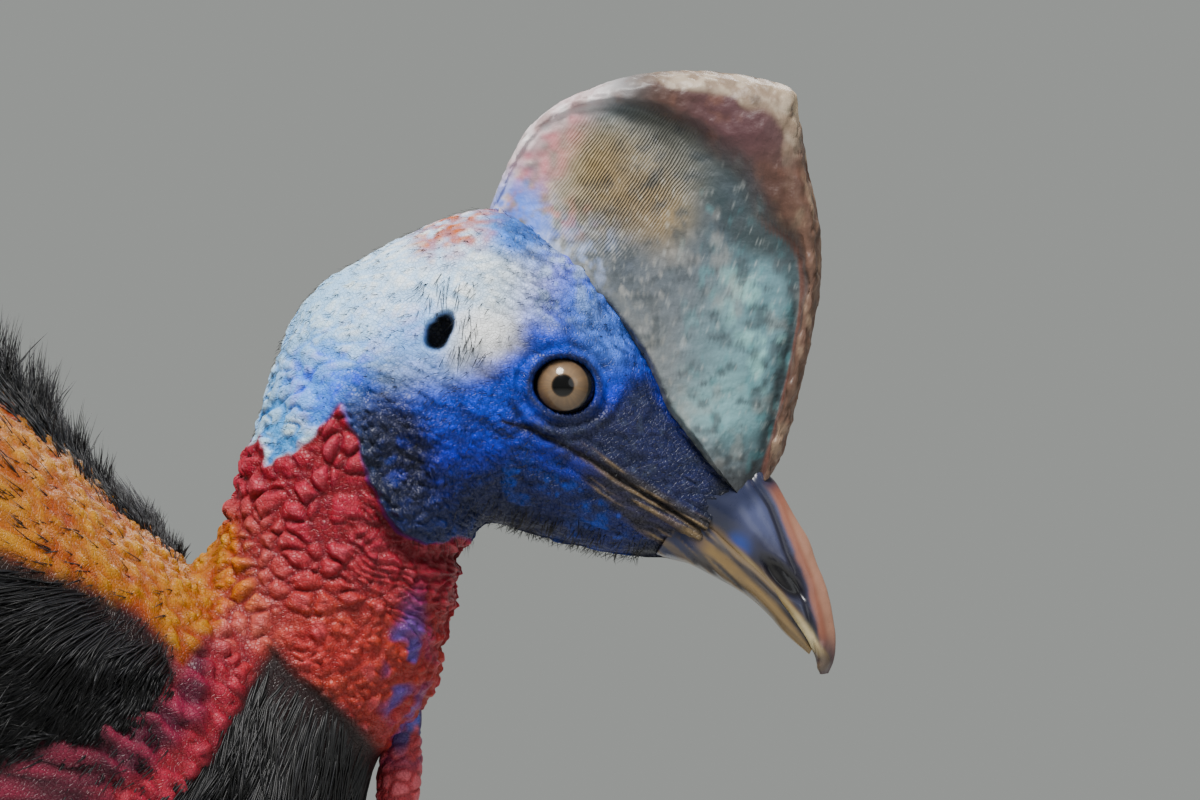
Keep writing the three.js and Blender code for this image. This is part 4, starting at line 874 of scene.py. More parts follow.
# Bill: [upper x, upper z, lower x, lower z, half width] from the root to the tip
upperRibs = [
    [56.0, -24.0, 38.0, -41.0, 12.9], [61.5, -26.6, 46.9, -48.6, 12.6], [67.0, -29.2, 52.0, -53.4, 12.2],
    [74.6, -42.0, 58.2, -59.4, 11],
    [79.5, -50.4, 64.7, -65.6, 10], [82.7, -58.9, 69.0, -70.4, 9], [85.7, -67.0, 73.5, -75.8, 8],
    [87.6, -75.2, 77.8, -81.0, 6.8], [88.6, -83.0, 81.0, -86.2, 5], [88.2, -89.5, 83.0, -90.7, 3.2],
    [86.2, -94.2, 84.4, -94.4, 0.9],
]
lowerRibs = [
    [40.0, -40.0, 30.0, -55.6, 12.6], [49.3, -44.4, 40.4, -58.3, 11.6], [56.6, -51.2, 46.7, -61.4, 10.8],
    [63.6, -58.0, 54.2, -65.4, 9.8],
    [68.6, -63.3, 61.2, -69.6, 8.6], [73.4, -69.4, 67.5, -75.4, 7.2], [77.1, -75.2, 72.2, -80.8, 5.8],
    [80.2, -80.0, 76.7, -85.0, 4.2], [81.8, -85.0, 80.4, -88.2, 2],
]
bill = {"ridge": 0.34, "upperGrid": (150, 104), "lowerGrid": (120, 76), "upperVivid": 1.25,
    "lowerVivid": 1.2}


def billGrid(ribs, ridge, along, around):
    t = np.linspace(0, len(ribs) - 1, along)
    tx, tz, bx, bz, w = [v[:, None] for v in rowAt(ribs, t).T]
    a = roundTurns(around)
    h = (1 + power(np.cos(a), 0.8)) / 2
    narrow = 1 + (ridge - 1) * smooth(h, 0.3, 1)
    y = w * narrow * power(np.sin(a), 0.6)
    return np.stack([eyeX + bx + (tx - bx) * h, y, eyeZ + bz + (tz - bz) * h], -1)


p = billGrid(upperRibs, bill["ridge"], *bill["upperGrid"])
flat, n, x, z = unrolled(p)
sided = smooth(np.abs(n[:, 1]), 0.2, 0.5)
culmen, culmenShare = lineDistance(x, z, [(67.4, -28.4), (73.2, -37.6), (77.8, -49.1), (83.1, -62.1),
    (86.3, -73.6), (88.3, -83.4), (86.3, -92.5)])
nostril = oval(x, z, (70.6, -61.1), (12.5, 5.2), -47, 0.4)
slot = oval(x, z, (71.9, -63.1), (9.0, 3.0), -47, 0.3)
groove, _ = lineDistance(x, z, [(56.6, -27.8), (63.8, -44.1), (71.3, -54.6)])
height = 0.12 * layers(flat, 6, 3, 101) - sided * 0.5 * swell(groove, 2)
height += -0.9 * sided * swell(culmen - 6.2, 1.2) + sided * 0.8 * oval(x, z, (62.1, -39.2), (7, 14), 38,
    0.6)
height += 0.5 * (1 - smooth(culmen, 2.5, 5.0)) * smooth(culmenShare, 0, 0.08)
upperLip, lipShare = lineDistance(x, z, [(45.1, -47.4), (52.3, -53.3), (60.2, -61.1), (68.0, -69.0),
    (74.6, -77.5), (79.8, -86.0), (83.1, -89.9)])
height += sided * 0.5 * swell(upperLip - 2.6, 1.4)
flat = flat + n * height[:, None]
flat[:, 1] -= np.sign(flat[:, 1]) * sided * (2.6 * slot + 0.7 * nostril)
c = painted(
    plain("#3C3E54", len(flat)),
    ("#22262F", smooth(-(x + 0.9 * (z + 45)), -62, -44)),
    # Painted highlight on the bulge at the bill's root
    ("#4E5472", oval(x, z, (60.8, -39.2), (5, 14), 38, 0.8) * 0.7),
    ("#24459A", oval(x, z, (57.6, -52.3), (4, 3), -40, 0.9) * 0.6),
    ("#1E1E28", mottled(flat, 7, 3, 102, 0.0, 0.8) * 0.5),
    # Painted shade in the groove beside the culmen
    ("#14121A", (1 - smooth(np.abs(culmen - 6.2), 0.6, 1.8)) * 0.85),
    ("#7C5448", (1 - smooth(culmen + 0.5 * noise(flat, 3, 103), 3.6, 4.8))
        * smooth(culmenShare, 0.0, 0.06)),
    ("#A08272", (1 - smooth(culmen, 1.0, 3.0)) * 0.5 * smooth(culmenShare, 0.1, 0.3)),
    ("#5A4A4E", smooth(culmenShare, 0.8, 0.97) * (1 - smooth(culmen, 3, 7)) * 0.85),
    ("#5C4C3A", (1 - smooth(upperLip + 0.7 * noise(flat, 3, 104), 2.8, 5.2)) * smooth(x, 38, 48)),
    ("#A08E6C", (1 - smooth(np.abs(upperLip - 2.4), 0.5, 1.7)) * smooth(lipShare, 0.05, 0.4) * 0.8),
    ("#DCD0AE", oval(x, z, (77.8, -82.1), (7.5, 3.0), -56, 0.7) * 0.9),
    # Painted shade along the bill's edge at the gape
    ("#2E2220", (1 - smooth(upperLip, 0.3, 1.1)) * 0.8),
)
seam = lineDistance(x + 1.5 * noise(flat, 4, 115), z + 1.5 * noise(flat, 4, 116),
    [(71.3, -25.2), (58.2, -33.7), (46.4, -42.8), (33.4, -57.2)])[0]
c = painted(
    c,
    ("#1E2236", (1 - smooth(seam, 2, 11)) * (0.9 - 0.7 * (1 - smooth(upperLip, 3, 5)))),
    ("#1E1C26", sided * nostril * 0.6),
    ("#0B0A0E", sided * slot),
    ("#3C3236", oval(x, z, (86.3, -92.5), (7, 4.5), -70, 0.8) * 0.85),
)
c = vivid(c, bill["upperVivid"])
billPiece = gridPiece("bill_top", flat.reshape(p.shape), hornBill, c)
standIn(billPiece, "bill_upper", "bill_upper")

p = billGrid(lowerRibs, 1.0, *bill["lowerGrid"])
flat, n, x, z = unrolled(p)
streak = noise(np.stack([(x + z) * 2.2, flat[:, 1] * 0.4, (x - z) * 0.16], 1), 3.0, 111)
height = 0.25 * streak
flat = flat + n * height[:, None]
edgeLine = lineDistance(x, z, [(41.9, -50.0), (52.3, -57.2), (60.2, -65.1), (68.0, -72.3), (74.6, -80.8),
    (80.4, -88.0)])[0]
c = painted(
    plain("#3E3A3A", len(flat)),
    ("#6A5A44", smooth(streak, 0.0, 0.4) * 0.75),
    ("#1C1A20", smooth(-streak, 0.2, 0.6) * 0.7),
    ("#86704E", (1 - smooth(edgeLine, 0.8, 2.6)) * 0.6),
)
seam = lineDistance(x + 1.5 * noise(flat, 4, 117), z + 1.5 * noise(flat, 4, 118),
    [(46.4, -42.8), (33.4, -57.2)])[0]
c = painted(c, ("#1A2140", (1 - smooth(seam, 1, 10)) * (0.9 - 0.55 * smooth(streak, 0.0, 0.4))))
c = vivid(c, bill["lowerVivid"])
billPiece = gridPiece("bill_under", flat.reshape(p.shape), hornBill, c)
standIn(billPiece, "bill_lower", "bill_lower")
print("bill done")


# Eyes: a ball whose iris, pupil and dark ring are painted round the way it looks
eye = {"grid": (84, 90), "radius": 11.0, "iris": 8.6, "pupil": 3.5, "out": -8.4}
cheekY = float(skinPoint(np.array([4.0]), np.array([math.pi / 2]))[0, 1])
for side, name in ((1, "eye_left"), (-1, "eye_right")):
    lat = np.linspace(0.012, math.pi - 0.012, eye["grid"][0])[:, None]
    lon = roundTurns(eye["grid"][1])
    u = np.stack([np.sin(lat) * np.cos(lon), np.cos(lat) + 0 * lon, np.sin(lat) * np.sin(lon)], -1)
    off = np.hypot(u[..., 0], u[..., 2]) * eye["radius"]
    front = u[..., 1] > 0
    bulge = 1 + 0.06 * (1 - smooth(off, 0, eye["iris"] * 1.05)) * front
    ball = u * eye["radius"] * bulge[..., None]
    ball[..., 1] = side * (cheekY + eye["out"] + ball[..., 1])
    ball[..., 0] += eyeX
    ball[..., 2] += eyeZ - 0.3
    o, f = off.ravel(), front.ravel()
    lines = noise(np.stack([np.arctan2(u[..., 2], u[..., 0]).ravel() * 14, o * 0.25, o * 0], 1), 1.0, 121)
    c = plain("#0D0D12", len(o))
    iris = (1 - smooth(o, eye["iris"] - 0.9, eye["iris"] - 0.2)) * f
    c = painted(
        c,
        ("#6E5A46", iris),
        ("#84694C", iris * smooth(lines, -0.2, 0.8) * 0.6),
        ("#4A3A2A", iris * smooth(o, eye["iris"] - 3.4, eye["iris"] - 0.6) * 0.75),
        ("#7A6650", iris * swell(o - 4.4, 0.5) * 0.5),
        ("#050506", (1 - smooth(o, eye["pupil"] - 0.25, eye["pupil"] + 0.25)) * f),
    )
    if side < 0:
        c = c.reshape(ball.shape)[:, ::-1].reshape(-1, 3)
        ball = ball[:, ::-1]
    piece = gridPiece("ball_" + name[4:], ball, eyeball, c)
    standIn(piece, name, name)
print("eyes done")


# Wattle: a drop with flat warts
wattle = {"grid": (100, 64), "wart": 5.5, "wartHeight": 0.7, "length": 50.5}
profile = [[2.4], [4.6], [5.4], [6.1], [6.9], [7.4], [7.0], [5.4], [1.2]]
t = np.linspace(0, len(profile) - 1, wattle["grid"][0])
a = roundTurns(wattle["grid"][1])
r = rowAt(profile, t)
s = (t / t[-1])[:, None]
p = np.stack([eyeX - 50.6 - 5 * s + r * np.cos(a), 0.9 * r * np.sin(a), eyeZ - 97 - wattle["length"] * s
    + 0 * a], -1)
flat, n, _, _ = unrolled(p)
near, second, _ = cells(flat, wattle["wart"], 131)
wart = smooth(second - near, 0, 0.35) * (1 - 0.3 * near ** 2)
flat = flat + n * (wattle["wartHeight"] * wart - 0.4)[:, None]
down = np.repeat(s.ravel(), a.size)
c = painted(
    plain("#A03038", len(flat)),
    # Painted highlight on the wart tops and painted shade between the warts
    ("#C0606C", smooth(wart, 0.6, 1) * 0.5),
    ("#6A1826", (1 - smooth(wart, 0.05, 0.35)) * 0.55),
    ("#3A2A5E", smooth(-down, -0.62, -0.35) * mottled(flat, 5, 2, 132, -0.5, 0.2)),
    ("#4458B4", smooth(-down, -0.55, -0.3) * smooth(noise(flat, 4.5, 133), 0.1, 0.5) * 0.8),
)
piece = gridPiece("wattle_skin", flat.reshape(p.shape), faceSkin, c)
standIn(piece, "wattle", "wattle")
print("wattle done")


# Plumage: thin bent blades of three sides, closed at the root, that run out to a point

# root, out and way are points and unit vectors; curve is how far the tip follows the skin round, in mm
def blades(name, root, out, way, length, width, lift, curve, sag, seedUv, shade, material, spans=3,
        flat=0.45):
    count = len(root)
    rows = []
    side = np.cross(way, out)
    side /= np.maximum(np.linalg.norm(side, axis=1, keepdims=True), 1e-6)
    for k in range(spans + 1):
        s = k / spans
        at = root + way * (length * s)[:, None] + out * (lift * s ** 0.8 - curve * s ** 2)[:, None]
        at[:, 2] -= sag * s ** 2
        at += side * (shade["bend"] * length * s ** 2)[:, None]
        if k == spans:
            rows.append(at[:, None])
            break
        w = (0.5 * width * (1 - 0.55 * s ** 1.5))[:, None]
        rows.append(np.stack([at + side * w - out * w * flat, at - side * w - out * w * flat, at + out
            * w * flat * 1.4], 1))
    points = np.concatenate(rows, 1)
    each = points.shape[1]
    faces = []
    for k in range(spans - 1):
        for j in range(3):
            a, b = 3 * k + j, 3 * k + (j + 1) % 3
            faces += [[a, b, b + 3], [a, b + 3, a + 3]]
    a = 3 * (spans - 1)
    faces += [[a + j, a + (j + 1) % 3, each - 1] for j in range(3)] + [[0, 2, 1]]
    faces = np.asarray(faces)
    every = (np.arange(count) * each)[:, None, None] + faces[None]
    along = np.concatenate([np.full(3, k / spans) for k in range(spans)] + [[1.0]])
    tone = np.clip(shade["tone"][:, None] * (0.35 + 0.65 * along[None]), 0, 1)
    piece = meshOf(name, points.reshape(-1, 3), every.reshape(-1, 3), material,
        extra={"shade": tone.ravel()})
    print(name, count, "tufts,", count * len(faces), "triangles")
    uv = piece.data.uv_layers.new(name="OFBake")
    across = np.concatenate([[0.0, 1.0, 0.5]] * spans + [[0.5]])
    spot = np.stack([across[None] * 0.003 + seedUv[:, :1], along[None] * 0.003 + seedUv[:, 1:]], -1)
    uv.data.foreach_set("uv", spot.reshape(-1, 2)[every.ravel()].astype(np.float32).ravel())
    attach(piece, "root")
    return piece


# Point, outward normal and unwrap place of the smooth skin
def skinAt(t, turn):
    step = 0.02
    at = skinPoint(t, turn)
    along = skinPoint(t + step, turn) - skinPoint(t - step, turn)
    across = skinPoint(t, turn + step) - skinPoint(t, turn - step)
    out = np.cross(across, along)
    out /= np.maximum(np.linalg.norm(out, axis=1, keepdims=True), 1e-9)
    tx, tz, bx, bz, w = rowAt(skinRibs, t).T
    away = at - np.stack([(tx + bx) / 2, 0 * tx, (tz + bz) / 2], 1)
    out *= np.sign((out * away).sum(1))[:, None]
    return at, out, np.stack([t / 34, (turn / (2 * math.pi)) % 1], 1) * 0.98 + 0.005


def along(out, way):
    way = way - out * (way * out).sum(1)[:, None]
    return way / np.maximum(np.linalg.norm(way, axis=1, keepdims=True), 1e-9)


# Random places on the skin between two ribs, even by area
def scatter(low, high, count):
    t = rng.uniform(low, high, count * 3)
    turn = rng.uniform(0, 2 * math.pi, count * 3)
    step = 0.05
    a = skinPoint(t + step, turn) - skinPoint(t - step, turn)
    b = skinPoint(t, turn + step) - skinPoint(t, turn - step)
    area = np.linalg.norm(np.cross(a, b), axis=1)
    keep = rng.random(len(t)) < area / np.quantile(area, 0.97)
    return t[keep][:count], turn[keep][:count]


# Neck: the front patch, the patch behind the red strip and the crest
coat = {"bodyTufts": 21000, "neckTufts": 17000, "crestHairs": 5200, "faceHairs": 15000,
    "bodyLength": 165, "depth": 30, "width": 2.4}
share = 1.0
t, turn = scatter(14.6, 21.0, int(coat["neckTufts"] * 6 * share))
at, out, spot = skinAt(t, turn)
x, z = (at[:, [0, 2]] - [eyeX, eyeZ]).T
ragged = 3 * noise(at, 12, 141)
inFront = region(x + ragged * 0.5, z + ragged, frontOutline, 1)
sideCoat = [(-380.0, -37.6), (-183.8, -53.3), (-170.7, -59.2), (-154.3, -64.4), (-138.0, -71.6),
    (-127.5, -83.4), (-124.9, -91.2), (-131.5, -104.3), (-151.1, -110.2), (-170.7, -114.8),
    (-183.8, -117.4), (-380.0, -135.7)]
inSide = region(x + ragged * 0.5, z + ragged, sideCoat, 1)
inCrest = (at[:, 2] > 796 + (218 - at[:, 0]) * 0.91 + ragged * 0.5) & (at[:, 0] < 219)
breast = (z < -184) & (t > 15.5)
sparse = rng.random(len(t)) < 0.012 + 0.07 * smooth(-x - 0.9 * z, 170, 215)
chanceOf = (np.maximum(inFront, inSide) * smooth(-z, -400, -200) * (1 - 0.75 * smooth(-z, 150, 190))
    * (1 - 0.8 * smooth(-x, 188, 215)))
chanceOf = np.maximum(chanceOf, 0.12 * breast)
keep = (rng.random(len(t)) < chanceOf) | (inCrest & (rng.random(len(t)) < 0.4)) | (sparse & (x < -122)
    & (t > 16))
kind = np.select([inCrest, inFront > 0.5, inSide > 0.5, breast, sparse], [0, 1, 2, 1, 3], 2)
t, turn, at, out, spot, kind, x, z = (v[keep] for v in (t, turn, at, out, spot, kind, x, z))
count = len(t)
print("neck tufts", count)
wave = 0.3 * noise(at, 22, 142) + 0.35 * noise(at, 8, 143)
frontWay = np.stack([np.clip(-0.5 + 0.013 * (x + 90), -0.9, 0.1) + wave, 0.12 * np.sign(at[:, 1]), -1 + 0
    * x], 1)
sideWay = np.stack([-1 + 0 * x, 0.05 * np.sign(at[:, 1]), -0.42 + 0.010 * (-z - 60) * -1 + wave], 1)
crestWay = np.stack([-0.75 + wave, 0.15 * np.sign(at[:, 1]) + 0.2 * rng.normal(size=count), 0.75 + 0
    * x], 1)
pick = kind[:, None]
way = np.where(pick == 0, crestWay, np.where(pick == 1, frontWay, sideWay))
way = along(out, way + 0.09 * rng.normal(size=(count, 3)))
length = (rng.uniform(0.6, 1.15, count) ** np.where(kind == 0, 1.6, 1)
    * np.select([kind == 0, kind == 1, kind == 2], [25, 50, 56], 15))
length *= np.where(kind == 1, 0.55 + 0.45 * smooth(-z, 85, 130), 1)
lowEdge = lineDistance(x, z, [(-380.0, -135.7), (-183.8, -117.4), (-170.7, -114.8), (-151.1, -110.2),
    (-131.5, -104.3), (-124.9, -91.2)])[0]
length = np.where(kind == 2, np.minimum(length, 9 + 1.5 * lowEdge), length)
clump = cells(at * [1, 1, 0.8], 8.5, 146)[2]
width = np.where(kind == 3, 0.6, 0.95) * rng.uniform(0.7, 1.2, count)
lift = np.select([kind == 0, kind == 3], [6.0, 4.0], 3.5) * rng.uniform(0.4, 1.2, count) * (0.6 + 0.8
    * clump)
bend = 0.42 * (clump - 0.5) + 0.3 * noise(at, 22, 144) + 0.04 * rng.normal(size=count)
tone = rng.uniform(0.0, 1.0, count) ** 2
print("kinds", [int((kind == k).sum()) for k in range(4)])
for k in range(4):
    m = np.arange(count) % 4 == k
    blades("coat_neck_%d" % k, at[m] - out[m] * 1.6, out[m], way[m], length[m], width[m], lift[m],
        0.03 * length[m],
           0.05 * length[m], spot[m], {"bend": bend[m], "tone": tone[m]}, feather)

# The crest up the hind neck: clumps of stiff hairs that stand off the ridge
lots = int(coat["crestHairs"] * share)
t = rng.uniform(15.9, 22.0, lots)
turn = rng.normal(0, 0.16, lots)
at, out, spot = skinAt(t, turn)
clump = cells(at * [1, 0.7, 1], 7.0, 147)[2]
stand = 9 + 16 * smooth(218 - at[:, 0], 0, 60)
way = (np.stack([-0.25 + 0.9 * (clump - 0.5), 0.35 * rng.normal(size=lots), 1 + 0 * t], 1) + 0.12
    * rng.normal(size=(lots, 3)))
way /= np.linalg.norm(way, axis=1, keepdims=True)
length = stand * rng.uniform(0.45, 1.0, lots) * (0.65 + 0.6 * clump)
blades("coat_crest", at - out, out, way, length, 0.7 * rng.uniform(0.7, 1.2, lots), 0 * t, 0 * t,
    0.1 * length, spot,
       {"bend": 0.3 * (clump - 0.5) + 0.1 * rng.normal(size=lots), "tone": rng.uniform(0, 1, lots) ** 2},
       feather)

# Fine bristles of the bare face: round the ear, over nape and cheeks, and under the jaw
lots = int(coat["faceHairs"] * share)
t, turn = scatter(1.0, 15.0, lots)
at, out, spot = skinAt(t, turn)
x, z = (at[:, [0, 2]] - [eyeX, eyeZ]).T
bare = 1 - region(x, z, redOutline, 1)
nearEar = oval(x, z, (-36.0, 21.9), (9, 15), 20, 0.7)
underJaw = lineDistance(x, z, [(-43.2, -50.7), *throatLine])[0] < 7
odds = bare * np.clip(0.16 + 0.5 * nearEar + 0.5 * underJaw + 0.12 * smooth(-x, 20, 60), 0, 1)
keep = ((rng.random(len(t)) < odds) & (np.hypot(x - 0.5, z) > 15)
    & (oval(x, z, ear["at"], (8, 5), ear["slant"]) < 0.1))
t, turn, at, out, spot, x, z, nearEar, underJaw = (v[keep] for v in (t, turn, at, out, spot, x, z,
    nearEar, underJaw))
count = len(t)
way = np.stack([-0.9 + 0 * x, 0 * x, -0.35 + 0 * x], 1)
way += (nearEar[:, None] * [0.9, 0, -1.3] + underJaw[:, None] * [0.3, 0, -1.2] + 0.3
    * rng.normal(size=(count, 3)))
length = rng.uniform(0.6, 1.2, count) * (2.2 + 5.5 * nearEar + 3.0 * underJaw)
blades("coat_bristles", at, out, along(out, way), length, 0.24 + 0 * x, (1.0 + 2.2 * underJaw)
    * rng.uniform(0.5, 1.3, count),
       0 * x, 0 * x, spot, {"bend": 0.1 * rng.normal(size=count), "tone": 0.2 * rng.random(count)},
       feather)
print("face bristles", count)

# Trunk, thighs: long hair-like feathers in overlapping locks
lots = int(coat["bodyTufts"] * share)
t, turn = scatter(18.8, 33.8, lots)
at, out, spot = skinAt(t, turn)
keepBare = (at[:, 0] - eyeX < -189) | (at[:, 2] - eyeZ < -180)
t, turn, at, out, spot = (v[keepBare] for v in (t, turn, at, out, spot))
count = len(t)
lock = cells(at * [0.7, 1, 1], 34, 151)
own = lock[2]
flank = np.sin(np.clip(np.abs((turn + math.pi) % (2 * math.pi) - math.pi), 0, math.pi / 2))
rump = smooth(t, 26.5, 31.5)
down = 0.12 + 1.15 * flank + 0.85 * rump
way = np.stack([-1 + 0 * down, 0.06 * np.sign(at[:, 1]) + 0.5 * (own - 0.5), -down + 0.5
    * noise(at, 40, 152)], 1)
way = along(out, way + 0.06 * rng.normal(size=(count, 3)))
length = coat["bodyLength"] * rng.uniform(0.7, 1.1, count) * (0.8 + 0.3 * own) * (0.6 + 0.4
    * smooth(t, 19, 23)) * (1 + 0.36 * rump)
shadeBody = {"bend": 0.12 * (own - 0.5) + 0.02 * rng.normal(size=count),
    "tone": np.clip(rng.uniform(0, 1, count) ** 2 * 0.7 + 0.4 * own - 0.2, 0, 1)}
for k in range(3):
    m = np.arange(count) % 3 == k
    blades("coat_body_%d" % k, at[m], out[m], way[m], length[m], coat["width"]
        * rng.uniform(0.7, 1.3, m.sum()),
           coat["depth"] * rng.uniform(0.15, 0.95, m.sum()) * (0.6 + 0.6 * own[m]), length[m] ** 2 / 420
           * (1 - 0.8 * rump[m]), 0.08 * length[m], spot[m],
           {"bend": shadeBody["bend"][m], "tone": shadeBody["tone"][m]}, feather, spans=4)
print("body tufts", count)


# Legs: thigh, shank, foot and toes on each side
leg = {"thighGrid": (80, 56), "shankGrid": (60, 40), "padGrid": (24, 32), "toeGrid": (40, 28),
    "clawGrid": (36, 26),
    "apart": 92.0, "stagger": 17, "voxel": 0.0024, "quickVoxel": 0.004, "scale": 6.5, "thighTufts": 2300,
    "scute": 13}


def ovalLoft(a, b, rows, along, around):
    t = np.linspace(0, len(rows) - 1, along)
    r = rowAt(rows, t)
    s = (t / (len(rows) - 1))[:, None]
    ang = roundTurns(around)
    mid = np.asarray(a, float)[None] * (1 - s) + np.asarray(b, float)[None] * s
    return np.stack([mid[:, :1] + r[:, :1] * np.cos(ang), mid[:, 1:2] + r[:, 1:2] * np.sin(ang),
        mid[:, 2:3] + 0 * ang], -1)


thighRows = [[27, 25], [25, 23], [27, 25], [36, 32], [49, 42], [60, 49], [64, 50], [52, 38]]
shankRows = [[26, 27], [21, 21], [16.5, 15], [15.5, 14], [15.5, 14], [16.5, 15], [20, 19], [27, 25],
    [27, 25]]
toeRows = [[1.05, 15.5], [1.0, 13.5], [0.86, 12.5], [0.92, 12], [0.78, 11], [0.82, 10.5], [0.66, 9.5]]
toeKinds = {
    "inner": {"heading": 12, "length": 78, "claw": 96, "wide": 15, "clawWide": 8.5, "drop": 5},
    "middle": {"heading": -2, "length": 126, "claw": 42, "wide": 17, "clawWide": 7, "drop": 10},
    "outer": {"heading": -32, "length": 92, "claw": 34, "wide": 15, "clawWide": 6.2, "drop": 9},
}


def scales(flat, size, seed):
    near, second, own = cells(flat * [1, 1, 1.3], size, seed)
    raised = smooth(second - near, 0.0, 0.3) * (1 - 0.35 * near ** 2)
    c = painted(
        plain("#6C6658", len(flat)),
        ("#857E6C", smooth(own, 0.3, 1) * 0.6),
        ("#3B372F", 1 - smooth(raised, 0.1, 0.6)),
    )
    return raised, c


